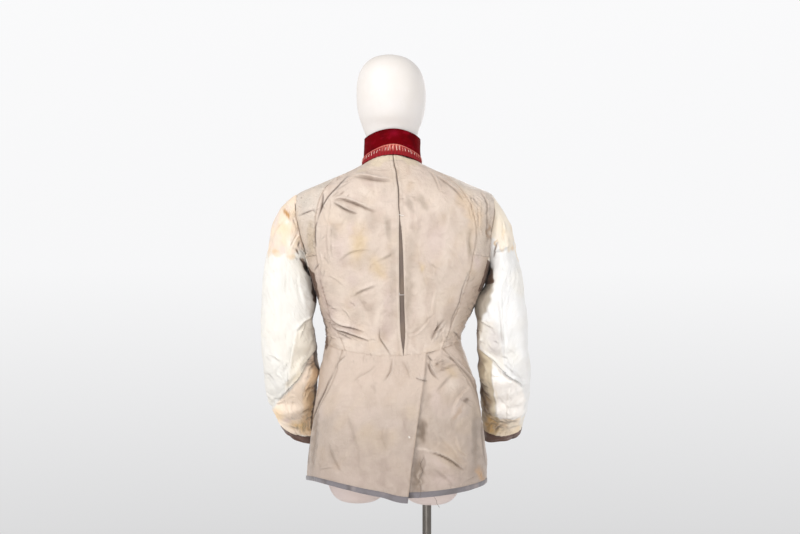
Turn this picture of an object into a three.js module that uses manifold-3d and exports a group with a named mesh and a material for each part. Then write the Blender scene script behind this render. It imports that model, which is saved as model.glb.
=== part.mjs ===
// A military frock tunic, turned inside out, on an egg-head display form and a pole stand.
// Millimetres, +Z up. The origin is on the floor under the middle of the stand's base.
// The tunic's back faces -Y, and the wearer's right is at +X.
import * as THREE from 'three';
import Module from 'manifold-3d';
import { mergeVertices } from 'three/addons/utils/BufferGeometryUtils.js';

const wasm = await Module();
wasm.setup();

// ---- driving dimensions -------------------------------------------------------------------

const CLOTH = 1.8;            // lining and outer cloth together
const CUFF_CLOTH = 2.0;
const VELVET = 2.2;           // collar
const STRIP = 1.2;            // narrow facings and patches
const SEAM = 0.4;             // space between two sewn edges
const LIFT = 0.35;            // space under a piece that lies on a panel

const POLE = { x: 75, radius: 10, bore: 10.45, depth: 110 };
const BASE = { radius: 210, height: 8, edge: 2.5 };
const SOCKET = { radius: 19, height: 45 };
const STUB = { x: 81, top: 905, bottom: 741, leftAbove: 4, across: 75, back: 88, front: 86, square: 4 };

// Level rings of the cloth, from hem to neck. z is the height of the ring at the back, the two
// sides and the front; left, right, back and front are its reaches; square is the exponent of
// the superellipse, where 2 is an ellipse.
const BODY = [
  { name: 'hem', zBack: 778, zLeft: 793, zRight: 790, zFront: 786, left: 192, right: 205.5, back: 141, front: 140, square: 2.35 },
  { name: 'low_skirt', zBack: 840, zLeft: 843, zRight: 843, zFront: 842, left: 192, right: 208, back: 139, front: 137, square: 2.35 },
  { name: 'seat', zBack: 915, zLeft: 915, zRight: 915, zFront: 915, left: 184, right: 199, back: 134, front: 130, square: 2.3 },
  { name: 'hip', zBack: 975, zLeft: 975, zRight: 975, zFront: 975, left: 175, right: 191, back: 126, front: 122, square: 2.3 },
  { name: 'high_hip', zBack: 1025, zLeft: 1030, zRight: 1032, zFront: 1025, left: 166, right: 176, back: 114, front: 114, square: 2.25 },
  { name: 'waist_seam', zBack: 1079, zLeft: 1100, zRight: 1108, zFront: 1090, left: 153, right: 152, back: 99, front: 106, square: 2.2 },
  { name: 'waist_top', zBack: 1125, zLeft: 1132, zRight: 1138, zFront: 1130, left: 153, right: 161, back: 97, front: 108, square: 2.2 },
  { name: 'ribs', zBack: 1180, zLeft: 1178, zRight: 1180, zFront: 1180, left: 164, right: 183, back: 104, front: 116, square: 2.3 },
  { name: 'under_arm', zBack: 1235, zLeft: 1235, zRight: 1235, zFront: 1235, left: 180, right: 203, back: 113, front: 126, square: 2.4 },
  { name: 'chest', zBack: 1290, zLeft: 1278, zRight: 1278, zFront: 1285, left: 194, right: 215, back: 119, front: 132, square: 2.5 },
  { name: 'blade', zBack: 1350, zLeft: 1340, zRight: 1340, zFront: 1345, left: 212, right: 223, back: 120, front: 130, square: 2.7 },
  { name: 'yoke', zBack: 1400, zLeft: 1398, zRight: 1395, zFront: 1395, left: 224, right: 232, back: 115, front: 120, square: 2.7 },
  { name: 'shoulder_tip', zBack: 1440, zLeft: 1433, zRight: 1430, zFront: 1425, left: 217, right: 222, back: 104, front: 100, square: 2.5 },
  { name: 'slope_1', zBack: 1462, zLeft: 1450, zRight: 1449, zFront: 1437, left: 180, right: 183, back: 92, front: 89, square: 2.3 },
  { name: 'slope_2', zBack: 1480, zLeft: 1466, zRight: 1468, zFront: 1446, left: 141, right: 140, back: 80, front: 81, square: 2.2 },
  { name: 'slope_3', zBack: 1496, zLeft: 1481, zRight: 1485, zFront: 1454, left: 104, right: 99, back: 72, front: 74, square: 2.1 },
  { name: 'neck', zBack: 1517, zLeft: 1498, zRight: 1501, zFront: 1463, left: 70, right: 62.5, back: 63, front: 68, square: 2.0 },
];
const WAIST = 5;
const NECK = 16;
// Between the back and the sides the hem hangs higher than its ring.
const HEM_RISE = { left: 16, right: 2, until: 1.5 };

// The centre-back seam: its place, and the space between the two lining edges.
const CENTRE_BACK = [
  { level: 5, x: 22, open: 0.6 },
  { level: 6, x: 21, open: 10 },
  { level: 7, x: 19, open: 10.5 },
  { level: 8, x: 18, open: 10 },
  { level: 9, x: 17, open: 9 },
  { level: 10, x: 15, open: 6 },
  { level: 10.6, x: 13, open: 0.8 },
  { level: 11, x: 12, open: 2.4 },
  { level: 12, x: 11, open: 3 },
  { level: 13, x: 8, open: 3 },
  { level: 14, x: 6, open: 2.6 },
  { level: 15, x: 2, open: 2 },
  { level: 16, x: -1, open: 1.4 },
];
const STRIP_HALF = 9;

// The curved back seams, from the waist over the blade to the neck.
const BACK_SEAM = [
  { level: 5, left: 106, right: 106 },
  { level: 6, left: 122, right: 121 },
  { level: 7, left: 144, right: 143 },
  { level: 8, left: 157, right: 160 },
  { level: 9, left: 167, right: 172 },
  { level: 10, left: 172, right: 181 },
  { level: 11, left: 166, right: 172 },
  { level: 12, left: 152, right: 153 },
  { level: 13, left: 138, right: 134 },
  { level: 14, left: 117, right: 113 },
  { level: 15, left: 88, right: 83 },
  { level: 16, left: 67, right: 60 },
];

// Armhole: an oval round the side of the body, in degrees and levels.
const ARMHOLE = { angle: 91, level: 10.5, high: 1.5, behind: 19, ahead: 21, square: 3 };
const SHOULDER_SEAM = [
  { level: 12, angle: 91 },
  { level: 12.4, angle: 99 },
  { level: 13, angle: 106 },
  { level: 14, angle: 109 },
  { level: 15, angle: 107 },
  { level: 16, angle: 104 },
];

// Side pleats of the skirt, and the free edge of the left skirt at the back vent.
const SIDE_PLEAT = [
  { level: 0, left: 83, right: 86 },
  { level: 1, left: 79, right: 84 },
  { level: 2, left: 74, right: 80 },
  { level: 3, left: 60.5, right: 72 },
  { level: 4, left: 48.5, right: 61 },
  { level: 5, left: 45, right: 43.5 },
];
const VENT_EDGE = [
  { level: 0, x: 30.6 },
  { level: 1, x: 38 },
  { level: 2, x: 49 },
  { level: 3, x: 57.5 },
  { level: 4, x: 66 },
  { level: 5, x: 73 },
];
const VENT = { under: 35, recess: 2.8, blend: 26, lift: 9, liftOver: 75, drop: 9, dropOver: 60 };
const FRONT = { overlap: 12, recess: 3.4, blend: 25, hem: 2.2 };
const PLEAT = { lift: 1.5, over: 22 };

const SKIRT_LEVELS = [0, 0.17, 0.7, 1.3, 2, 2.6, 3.2, 3.8, 4.4, 5];
const EDGE = 0.006;           // half a seam, in levels

// Sleeve sections from the armhole to the cuff. across and depth are the reaches, outward and
// to the back; roll turns the section outward (90 is a sleeve held out level), pitch tips it
// forward with the bent elbow.
const SLEEVE_LEFT = [
  { x: -210, y: 2, z: 1359, across: 77, depth: 58, roll: 80, pitch: 0 },
  { x: -223.5, y: 2, z: 1338, across: 73.5, depth: 64, roll: 67.6, pitch: 0 },
  { x: -233, y: 2, z: 1310, across: 65.4, depth: 66, roll: 53.4, pitch: 0 },
  { x: -237, y: 2, z: 1281, across: 58.5, depth: 66, roll: 41, pitch: 0 },
  { x: -238.5, y: 2, z: 1251, across: 59, depth: 65, roll: 31, pitch: 0 },
  { x: -239.5, y: 2, z: 1208, across: 56.5, depth: 63, roll: 15, pitch: 0 },
  { x: -239, y: 4, z: 1140, across: 59, depth: 62, roll: 3, pitch: 0 },
  { x: -236, y: 10, z: 1090, across: 62, depth: 61, roll: 0, pitch: 5 },
  { x: -232, y: 24, z: 1040, across: 62, depth: 62, roll: 0, pitch: 22 },
  { x: -235, y: 52, z: 995, across: 58, depth: 59, roll: 0, pitch: 40 },
  { x: -232, y: 84, z: 961, across: 53, depth: 56, roll: 3, pitch: 43 },
  { x: -228, y: 110, z: 932, across: 50, depth: 51, roll: 8, pitch: 37 },
  { x: -223, y: 132, z: 904, across: 47, depth: 47, roll: 13, pitch: 32 },
  { x: -220.5, y: 140, z: 891, across: 46.5, depth: 46, roll: 15, pitch: 28 },
];
const SLEEVE_RIGHT = [
  { x: 227.5, y: 2, z: 1347, across: 69, depth: 58, roll: 82, pitch: 0 },
  { x: 238.5, y: 2, z: 1319, across: 57.4, depth: 64, roll: 67, pitch: 0 },
  { x: 242, y: 2, z: 1298, across: 52.6, depth: 66, roll: 58, pitch: 0 },
  { x: 243, y: 2, z: 1275, across: 47, depth: 66, roll: 47, pitch: 0 },
  { x: 246, y: 2, z: 1254, across: 45.6, depth: 65, roll: 38, pitch: 0 },
  { x: 240.5, y: 2, z: 1205, across: 53, depth: 63, roll: 13, pitch: 0 },
  { x: 243.5, y: 4, z: 1132, across: 57.5, depth: 62, roll: 0, pitch: 0 },
  { x: 246.5, y: 10, z: 1085, across: 56.5, depth: 61, roll: 0, pitch: 5 },
  { x: 252, y: 24, z: 1037, across: 58, depth: 62, roll: 0, pitch: 20 },
  { x: 254, y: 50, z: 989, across: 57, depth: 59, roll: 0, pitch: 36 },
  { x: 255.5, y: 82, z: 959, across: 53, depth: 56, roll: 2, pitch: 42 },
  { x: 257, y: 108, z: 931, across: 49.5, depth: 51, roll: 6, pitch: 36 },
  { x: 256, y: 130, z: 907, across: 46.5, depth: 47, roll: 10, pitch: 31 },
  { x: 254.5, y: 138, z: 895, across: 46, depth: 46, roll: 12, pitch: 28 },
];
const SLEEVE = { square: 2.15, loopReach: 1.5, loopInside: 1.2, loopAbove: 0.4, loopSeam: 0.8, around: 18 };
const SLEEVE_STEPS = [0, 0.35, 0.8, 1.4, 2.1, 3, 4, 5, 5.6, 6.2, 6.7, 7.2, 7.7, 8.2, 8.8, 9.5, 10.3, 11.2, 12];
const CUFF_FROM = 12;
const CUFF_STEPS = [12, 12.5, 13];
const HINDARM = { back: 80, front: 260 };

// Large folds. On the body they are given by the places of their two ends, seen from the
// back; on a sleeve by degrees round it and by sections along it. height is outward.
const BODY_FOLDS = [
  { x1: -148, z1: 1176, x2: -64, z2: 1112, width: 17, height: 4 },
  { x1: -144, z1: 1140, x2: -105, z2: 1117, width: 14, height: 3 },
  { x1: -92, z1: 1474, x2: -6, z2: 1460, width: 15, height: 2.5 },
  { x1: -100, z1: 1424, x2: -34, z2: 1395, width: 18, height: 3 },
  { x1: -100, z1: 1330, x2: -40, z2: 1180, width: 34, height: 3.5 },
  { x1: 120, z1: 1330, x2: 60, z2: 1180, width: 34, height: 3 },
  { x1: 140, z1: 1150, x2: 90, z2: 1110, width: 16, height: 3.5 },
  { x1: 55, z1: 868, x2: 150, z2: 815, width: 24, height: 6 },
  { x1: 163, z1: 972, x2: 120, z2: 905, width: 24, height: 5 },
  { x1: -10, z1: 1140, x2: -42, z2: 1010, width: 16, height: -3 },
  { x1: -105, z1: 1020, x2: -150, z2: 830, width: 32, height: 4 },
];
const SLEEVE_FOLDS = [
  { psi1: 60, s1: 7.1, psi2: 200, s2: 7.5, width: 22, height: -5 },
  { psi1: 55, s1: 7.9, psi2: 215, s2: 8.1, width: 20, height: 4 },
  { psi1: 40, s1: 8.9, psi2: 190, s2: 8.6, width: 24, height: -6 },
  { psi1: 20, s1: 9.9, psi2: 150, s2: 9.2, width: 24, height: 5 },
  { psi1: 150, s1: 5.6, psi2: 260, s2: 6.3, width: 22, height: -4 },
];
const SLEEVE_SCALE = { psi: 1.02, s: 46 };   // millimetres for a degree and for a section

// Stand collar, from the neck seam to its top edge.
const COLLAR = [
  { name: 'middle', zBack: 1545, zLeft: 1528, zRight: 1529, zFront: 1486, left: 67, right: 61, back: 60.5, front: 64 },
  { name: 'top', zBack: 1575, zLeft: 1558, zRight: 1558, zFront: 1512, left: 65, right: 60.5, back: 58, front: 60 },
];
const COLLAR_END = 175;       // degrees each way, open at the front
const COLLAR_ABOVE = 0.5;
const COLLAR_ROWS = [0, 0.05, 0.25, 0.6, 1];
const BAND_ROWS = { from: 1, to: 3 };

// The form: how far its skin is inside the cloth, its neck and its egg-shaped head.
const FORM = { inset: 12.5, seat: 2.6, seatFrom: 12.2, seatTo: 15.2, seatSpread: 30 };
const FORM_LEVELS = [1.25, 1.6, 2.2, 3, 4, 5, 6, 7, 8, 9, 10, 11, 11.7, 12.3, 13, 14, 15, 15.9];
const NECK_TOP = 1530;
const HEAD = [
  { z: 1530.3, x: -3, across: 54, back: 47, front: 51 },
  { z: 1559, x: -4, across: 56, back: 48, front: 68 },
  { z: 1581, x: -5, across: 63, back: 55, front: 88 },
  { z: 1604, x: -5, across: 71, back: 70, front: 100 },
  { z: 1629, x: -5, across: 76.5, back: 79, front: 108 },
  { z: 1657, x: -5, across: 78, back: 84, front: 112 },
  { z: 1684, x: -6, across: 76, back: 83, front: 109 },
  { z: 1707, x: -7, across: 69.5, back: 76, front: 99 },
  { z: 1726, x: -8, across: 57, back: 62, front: 80 },
  { z: 1739.5, x: -9, across: 39, back: 42, front: 54 },
  { z: 1746, x: -9, across: 17, back: 18, front: 24 },
];
const HEAD_TOP = { x: -9, z: 1747.5 };
const HEAD_AROUND = 26;
const FORM_AROUND = 28;

// ---- curves through tables ----------------------------------------------------------------

const radians = THREE.MathUtils.degToRad;
const clamp01 = (v) => Math.min(1, Math.max(0, v));
const smooth = (v) => clamp01(v) ** 2 * (3 - 2 * clamp01(v));
const power = (v, p) => Math.sign(v) * Math.abs(v) ** p;

function catmull(a, b, c, d, f) {
  return b + 0.5 * f * (c - a + f * (2 * a - 5 * b + 4 * c - d + f * (3 * (b - c) + d - a)));
}

// A row between the rows of a table, by its number in the table.
function rowAt(rows, t) {
  const last = rows.length - 1;
  const i = Math.min(Math.max(Math.floor(t), 0), last - 1);
  const row = {};
  for (const key of Object.keys(rows[0])) {
    if (key === 'name') continue;
    const b = rows[i][key];
    const c = rows[i + 1][key];
    const a = i > 0 ? rows[i - 1][key] : 2 * b - c;
    const d = i + 1 < last ? rows[i + 2][key] : 2 * c - b;
    row[key] = catmull(a, b, c, d, t - i);
  }
  return row;
}

// A column of a table with a level column, between its rows.
function lineAt(rows, key, level) {
  const last = rows.length - 1;
  let i = rows.findIndex((row) => row.level > level) - 1;
  if (i < 0) i = level <= rows[0].level ? 0 : last - 1;
  const slope = (k) => {
    const lo = Math.max(0, k - 1);
    const hi = Math.min(last, k + 1);
    return (rows[hi][key] - rows[lo][key]) / (rows[hi].level - rows[lo].level);
  };
  const run = rows[i + 1].level - rows[i].level;
  const f = clamp01((level - rows[i].level) / run);
  const h = f * f * (3 - 2 * f);
  return rows[i][key] * (1 - h) + rows[i + 1][key] * h
    + run * (slope(i) * f * (1 - f) ** 2 - slope(i + 1) * f * f * (1 - f));
}

// ---- the body surface ---------------------------------------------------------------------

const bodyRows = new Map();

function bodyRow(level) {
  if (!bodyRows.has(level)) bodyRows.set(level, rowAt(BODY, level));
  return bodyRows.get(level);
}

// Angle 0 is the centre back, 90 the right side, 180 the front and -90 the left side.
function bodyPoint(angle, level) {
  const row = bodyRow(level);
  const s = Math.sin(radians(angle));
  const c = Math.cos(radians(angle));
  const across = s > 0 ? row.right : row.left;
  const deep = c > 0 ? row.back : row.front;
  const zSide = s > 0 ? row.zRight : row.zLeft;
  const zEnd = c > 0 ? row.zBack : row.zFront;
  const rise = (s > 0 ? HEM_RISE.right : HEM_RISE.left) * Math.abs(2 * s * c) * smooth(1 - level / HEM_RISE.until);
  const p = 2 / row.square;
  return new THREE.Vector3(power(s, p) * across, -power(c, p) * deep, zSide * s * s + zEnd * c * c + rise);
}

function crossNormal(at, u, v, du, dv) {
  const alongU = at(u + du, v).sub(at(u - du, v));
  const alongV = at(u, v + dv).sub(at(u, v - dv));
  return alongU.cross(alongV).normalize();
}

const bodyNormal = (angle, level) => crossNormal(bodyPoint, angle, level, 1.5, 0.03);

// The angle at which the back half of a level ring stands at a distance x from the middle.
function angleAt(x, level) {
  const row = bodyRow(level);
  const reach = x > 0 ? row.right : row.left;
  const share = Math.min(1, Math.abs(x) / reach);
  return Math.sign(x) * THREE.MathUtils.radToDeg(Math.asin(share ** (row.square / 2)));
}

function foldHeight(folds, u, v) {
  let sum = 0;
  for (const fold of folds) {
    const du = fold.u2 - fold.u1;
    const dv = fold.v2 - fold.v1;
    const length = Math.hypot(du, dv);
    const along = ((u - fold.u1) * du + (v - fold.v1) * dv) / length;
    const off = Math.abs((u - fold.u1) * dv - (v - fold.v1) * du) / length / fold.width;
    const share = along / length;
    if (off >= 1 || share <= 0 || share >= 1) continue;
    sum += fold.height * (1 - off * off) ** 2 * Math.sin(Math.PI * share) ** 0.8;
  }
  return sum;
}

const bodyFolds = BODY_FOLDS.map((f) => ({ u1: f.x1, v1: f.z1, u2: f.x2, v2: f.z2, ...f }));
const sleeveFolds = SLEEVE_FOLDS.map((f) => ({
  u1: f.psi1 * SLEEVE_SCALE.psi,
  v1: f.s1 * SLEEVE_SCALE.s,
  u2: f.psi2 * SLEEVE_SCALE.psi,
  v2: f.s2 * SLEEVE_SCALE.s,
  ...f,
}));

// How far the cloth stands out from the smooth body at a place on the back.
function bodyRelief(angle, point) {
  return Math.abs(angle) < 90 ? foldHeight(bodyFolds, point.x, point.z) : 0;
}

// ---- walls --------------------------------------------------------------------------------

function solidFrom(positions, triangles) {
  const geometry = new THREE.BufferGeometry();
  geometry.setAttribute('position', new THREE.Float32BufferAttribute(positions.flatMap((p) => [p.x, p.y, p.z]), 3));
  geometry.setIndex(signedVolume(positions, triangles) < 0 ? triangles.map(([a, b, c]) => [a, c, b]).flat() : triangles.flat());
  return geometry;
}

function signedVolume(positions, triangles) {
  const sum = triangles.reduce((v, [a, b, c]) => v + positions[a].dot(positions[b].clone().cross(positions[c])), 0);
  return sum / 6;
}

// A wall of cloth from a grid of outer points and the normals at them. A loop closes on itself
// in the first direction.
function wall(grid, thickness, loop = false) {
  const wide = grid.length;
  const high = grid[0].length;
  const positions = [];
  for (const column of grid) {
    for (const { point, normal } of column) positions.push(point, point.clone().addScaledVector(normal, -thickness));
  }
  const outer = (i, j) => 2 * ((i % wide) * high + j);
  const inner = (i, j) => outer(i, j) + 1;
  const triangles = [];
  const quad = (a, b, c, d) => triangles.push([a, b, c], [a, c, d]);
  const spans = loop ? wide : wide - 1;
  for (let i = 0; i < spans; i += 1) {
    for (let j = 0; j < high - 1; j += 1) {
      quad(outer(i, j), outer(i + 1, j), outer(i + 1, j + 1), outer(i, j + 1));
      quad(inner(i, j), inner(i, j + 1), inner(i + 1, j + 1), inner(i + 1, j));
    }
    quad(outer(i, 0), inner(i, 0), inner(i + 1, 0), outer(i + 1, 0));
    quad(outer(i, high - 1), outer(i + 1, high - 1), inner(i + 1, high - 1), inner(i, high - 1));
  }
  if (!loop) {
    for (let j = 0; j < high - 1; j += 1) {
      quad(outer(0, j), outer(0, j + 1), inner(0, j + 1), inner(0, j));
      quad(outer(wide - 1, j), inner(wide - 1, j), inner(wide - 1, j + 1), outer(wide - 1, j + 1));
    }
  }
  return solidFrom(positions, triangles);
}

// A piece that lies on part of a panel: the panel's own points, moved out.
function overlay(grid, columns, rows, thickness) {
  const raised = grid.slice(columns.from, columns.to).map((column) =>
    column.slice(rows.from, rows.to).map(({ point, normal }) => ({
      point: point.clone().addScaledVector(normal, LIFT + thickness),
      normal,
    })));
  return wall(raised, thickness);
}

const evenShares = (count) => Array.from({ length: count + 1 }, (_, i) => i / count);

// A body panel's grid between two edges, each an angle for a level, with half a seam left
// free beside each. out is what is added along the normal; top cuts the last row.
function panelGrid({ levels, from, to, columns, out = () => 0, top = null }) {
  const grid = [];
  const rows = levels.map((level) => {
    const width = bodyPoint(to(level), level).distanceTo(bodyPoint(to(level) - 1, level));
    const widthFrom = bodyPoint(from(level), level).distanceTo(bodyPoint(from(level) + 1, level));
    return { level, a: from(level) + SEAM / 2 / widthFrom, b: to(level) - SEAM / 2 / width };
  });
  const shares = Array.isArray(columns) ? columns : evenShares(columns);
  for (const share of shares) {
    grid.push(rows.map(({ level, a, b }, j) => {
      const angle = a + (b - a) * share;
      const at = top && j === rows.length - 1 ? Math.min(level, top(angle)) : level;
      const normal = bodyNormal(angle, at);
      const point = bodyPoint(angle, at);
      const height = out(angle, at, point) + bodyRelief(angle, point);
      return { point: point.addScaledVector(normal, height), normal };
    }));
  }
  return grid;
}

// ---- body panels --------------------------------------------------------------------------

const sideName = (side) => (side < 0 ? 'left' : 'right');

function levelsBetween(levels, low, high) {
  const inside = levels.filter((level) => level > low + EDGE * 2 && level < high - EDGE * 2);
  return [low, ...inside, high];
}

// Panels are laid out for the right side with growing angles; on the left the two edges change
// places.
function sidedGrid(side, { inner, outer, ...rest }) {
  const edges = side > 0 ? { from: inner, to: outer } : { from: outer, to: inner };
  return panelGrid({ ...edges, ...rest });
}

const backSeam = (side) => (level) => angleAt(side * lineAt(BACK_SEAM, sideName(side), level), level);

const centreBack = (side) => (level) => {
  const x = lineAt(CENTRE_BACK, 'x', level) + side * lineAt(CENTRE_BACK, 'open', level) / 2;
  return angleAt(x, level);
};

// Places round the armhole where both the panels and the sleeve have points: psi 0 is its top,
// 90 its back, 180 its foot and 270 its front. back and high are shares of its reaches.
function armholePlace(psi) {
  return {
    back: power(Math.sin(radians(psi)), 2 / ARMHOLE.square),
    high: power(Math.cos(radians(psi)), 2 / ARMHOLE.square),
  };
}

const armholeLevel = (psi) => ARMHOLE.level + ARMHOLE.high * armholePlace(psi).high;
const PSI_STEP = 360 / SLEEVE.around;
const SIDE_TOP = armholeLevel(7 * PSI_STEP);
const BODY_LEVELS = [
  5, 5.5, 6, 6.6, 7.2, 7.8, 8.5,
  ...[7, 6, 5, 4, 3, 2, 1, 0].map((i) => armholeLevel(i * PSI_STEP)),
  12.4, 13, 14, 15, 16,
];

// The armhole's edge behind or ahead of the arm, as an angle on the right side.
function armholeAngle(level, reach) {
  const share = clamp01(Math.abs(level - ARMHOLE.level) / ARMHOLE.high);
  return ARMHOLE.angle + reach * (1 - share ** ARMHOLE.square) ** (1 / ARMHOLE.square);
}

function armholeBottom(angle) {
  const off = Math.abs(angle) - ARMHOLE.angle;
  const share = clamp01(Math.abs(off) / (off < 0 ? ARMHOLE.behind : ARMHOLE.ahead));
  return ARMHOLE.level - ARMHOLE.high * (1 - share ** ARMHOLE.square) ** (1 / ARMHOLE.square);
}

function shoulderOuter(side) {
  return (level) => side * (level < 12
    ? armholeAngle(level, -ARMHOLE.behind)
    : lineAt(SHOULDER_SEAM, 'angle', level));
}

function frontInner(side) {
  return (level) => {
    if (level < 12) return side * armholeAngle(Math.max(level, SIDE_TOP), ARMHOLE.ahead);
    return side * lineAt(SHOULDER_SEAM, 'angle', level);
  };
}

// The left front laps over the right one at the centre front.
const frontOuter = (side) => (level) => side * (180 + angleAt(FRONT.overlap, level));

function frontRecess(side) {
  if (side < 0) return () => 0;
  return (angle, level, point) => {
    const past = FRONT.overlap + FRONT.blend - point.x;
    const depth = FRONT.recess + FRONT.hem * smooth(2 - 3 * level);
    return -depth * smooth(past / FRONT.blend);
  };
}

const backGrid = (side) => sidedGrid(side, {
  levels: levelsBetween(BODY_LEVELS, WAIST + EDGE, NECK),
  inner: centreBack(side),
  outer: backSeam(side),
  columns: 9,
});

const shoulderGrid = (side) => sidedGrid(side, {
  levels: levelsBetween(BODY_LEVELS, SIDE_TOP + EDGE, NECK),
  inner: backSeam(side),
  outer: shoulderOuter(side),
  columns: 6,
});

// The side panel has columns at the armhole's own places along its cut top.
function sideGrid(side) {
  const seam = Math.abs(backSeam(side)(SIDE_TOP));
  const places = [7, 8, 8.5, 9, 9.5, 10, 11].map((i) => {
    const { back } = armholePlace(i * PSI_STEP);
    return ARMHOLE.angle - back * (back > 0 ? ARMHOLE.behind : ARMHOLE.ahead);
  });
  const angles = [...[0, 1, 2, 3].map((i) => seam + (places[0] - seam) * i / 4), ...places];
  const end = angles.at(-1);
  const shares = angles.map((angle) => (angle - seam) / (end - seam));
  return sidedGrid(side, {
    levels: levelsBetween(BODY_LEVELS, WAIST + EDGE, SIDE_TOP - EDGE),
    inner: backSeam(side),
    outer: () => side * end,
    columns: side > 0 ? shares : shares.map((share) => 1 - share).reverse(),
    top: (angle) => armholeBottom(angle) - EDGE,
  });
}

const frontGrid = (side) => sidedGrid(side, {
  levels: levelsBetween(BODY_LEVELS, WAIST + EDGE, NECK),
  inner: frontInner(side),
  outer: frontOuter(side),
  columns: 8,
  out: frontRecess(side),
});

// The strip of outer cloth that shows between the two lining edges.
function centreBackStrip() {
  const edge = (side) => (level) => angleAt(lineAt(CENTRE_BACK, 'x', level) + side * STRIP_HALF, level);
  return wall(panelGrid({
    levels: levelsBetween(BODY_LEVELS, WAIST + EDGE, NECK),
    from: edge(-1),
    to: edge(1),
    columns: 2,
    out: () => -CLOTH - LIFT * 1.5,
  }), STRIP);
}

// ---- skirt --------------------------------------------------------------------------------

const skirtLevels = levelsBetween(SKIRT_LEVELS, 0, WAIST - EDGE);
const ventX = (level) => lineAt(VENT_EDGE, 'x', level);
const pleat = (side) => (level) => side * lineAt(SIDE_PLEAT, sideName(side), level);

// The free edge of the left skirt stands away from the right one, more towards the hem.
function ventLift(angle, level, point) {
  const near = smooth(1 - (ventX(level) - point.x) / VENT.liftOver);
  return VENT.lift * near * (1 - level / WAIST) ** 1.3;
}

function ventRecess(angle, level, point) {
  return -VENT.recess * smooth((ventX(level) + VENT.blend - point.x) / VENT.blend * 1.6);
}

// The corner of the left skirt at the vent hangs lower than the rest of the hem.
function dropCorner(grid) {
  for (const column of grid) {
    column.forEach(({ point }, j) => {
      const level = skirtLevels[j];
      const near = smooth(1 - (ventX(level) - point.x) / VENT.dropOver);
      point.z -= VENT.drop * near * clamp01(1 - level);
    });
  }
}

// A pleat's upper edge stands a little proud of the panel beside it.
function pleatLift(side) {
  return (angle, level, point) => {
    const edge = bodyPoint(pleat(side)(level), level);
    return PLEAT.lift * smooth(1 - point.distanceTo(edge) / PLEAT.over) * clamp01(WAIST - level);
  };
}

function skirtBackGrid(side) {
  const lift = pleatLift(side);
  const vent = side < 0 ? ventLift : ventRecess;
  const edge = side < 0 ? 0 : -VENT.under;
  const grid = sidedGrid(side, {
    levels: skirtLevels,
    inner: (level) => angleAt(ventX(level) + edge, level),
    outer: pleat(side),
    columns: 10,
    out: (angle, level, point) => lift(angle, level, point) + vent(angle, level, point),
  });
  if (side < 0) dropCorner(grid);
  return grid;
}

const skirtFrontGrid = (side) => sidedGrid(side, {
  levels: skirtLevels,
  inner: pleat(side),
  outer: frontOuter(side),
  columns: 9,
  out: frontRecess(side),
});

// The facing along the hem, on the skirt's first two rows.
const hemFacing = (grid) => overlay(grid, { from: 0, to: grid.length }, { from: 0, to: 2 }, STRIP);

// ---- sleeves ------------------------------------------------------------------------------

const sleeveTable = (side) => (side < 0 ? SLEEVE_LEFT : SLEEVE_RIGHT);

// The sleeve's first ring, just inside the armhole's edge.
function armholeLoop(side, psi) {
  const { back, high } = armholePlace(psi);
  const centre = bodyPoint(side * ARMHOLE.angle, ARMHOLE.level);
  const angle = side * (ARMHOLE.angle - back * (back > 0 ? ARMHOLE.behind : ARMHOLE.ahead));
  const level = ARMHOLE.level + high * ARMHOLE.high;
  const point = bodyPoint(angle, level);
  const inward = centre.sub(point).normalize();
  return point.addScaledVector(inward, SLEEVE.loopInside).addScaledVector(bodyNormal(angle, level), SLEEVE.loopAbove);
}

function sleeveSection(side, psi, s) {
  const row = rowAt(sleeveTable(side), s);
  const roll = radians(row.roll);
  const pitch = radians(row.pitch);
  const across = new THREE.Vector3(side * Math.cos(roll), 0, Math.sin(roll));
  const backward = new THREE.Vector3(0, -Math.cos(pitch), -Math.sin(pitch));
  const p = 2 / SLEEVE.square;
  return new THREE.Vector3(row.x, row.y, row.z)
    .addScaledVector(across, row.across * power(Math.cos(radians(psi)), p))
    .addScaledVector(backward, row.depth * power(Math.sin(radians(psi)), p));
}

const loopWeight = (s) => Math.max(0, 1 - s / SLEEVE.loopReach) ** 2;

function sleeveSmooth(side, psi, s) {
  const weight = loopWeight(s);
  const point = sleeveSection(side, psi, s);
  return weight > 0 ? point.lerp(armholeLoop(side, psi), weight) : point;
}

function sleeveNormal(side, psi, s) {
  const at = (u, v) => sleeveSmooth(side, u, Math.max(0, v));
  return crossNormal(at, psi, s, 2, 0.04).multiplyScalar(side);
}

function sleeveNode(side, psi, s) {
  const normal = sleeveNormal(side, psi, s);
  const turned = psi < 0 ? psi + 360 : psi;
  const relief = foldHeight(sleeveFolds, turned * SLEEVE_SCALE.psi, s * SLEEVE_SCALE.s);
  return { point: sleeveSmooth(side, psi, s).addScaledVector(normal, relief), normal };
}

// Part of a sleeve between two seams, with half a seam left free beside each, and more where
// the seams turn sharply into the armhole.
function sleevePart(side, from, to, steps) {
  const count = Math.round(SLEEVE.around * (to - from) / 360);
  const grid = [];
  for (let i = 0; i <= count; i += 1) {
    grid.push(steps.map((s) => {
      const half = SEAM * (0.7 + SLEEVE.loopSeam * loopWeight(s)) / SLEEVE_SCALE.psi;
      return sleeveNode(side, from + half + (to - from - 2 * half) * i / count, s);
    }));
  }
  return wall(grid, CLOTH);
}

const sleeveSteps = [...SLEEVE_STEPS.slice(0, -1), CUFF_FROM - EDGE];

function cuff(side) {
  const grid = [];
  for (let i = 0; i < SLEEVE.around; i += 1) {
    grid.push(CUFF_STEPS.map((s) => sleeveNode(side, i * 360 / SLEEVE.around, s + EDGE)));
  }
  return wall(grid, CUFF_CLOTH, true);
}

// ---- collar -------------------------------------------------------------------------------

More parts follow.
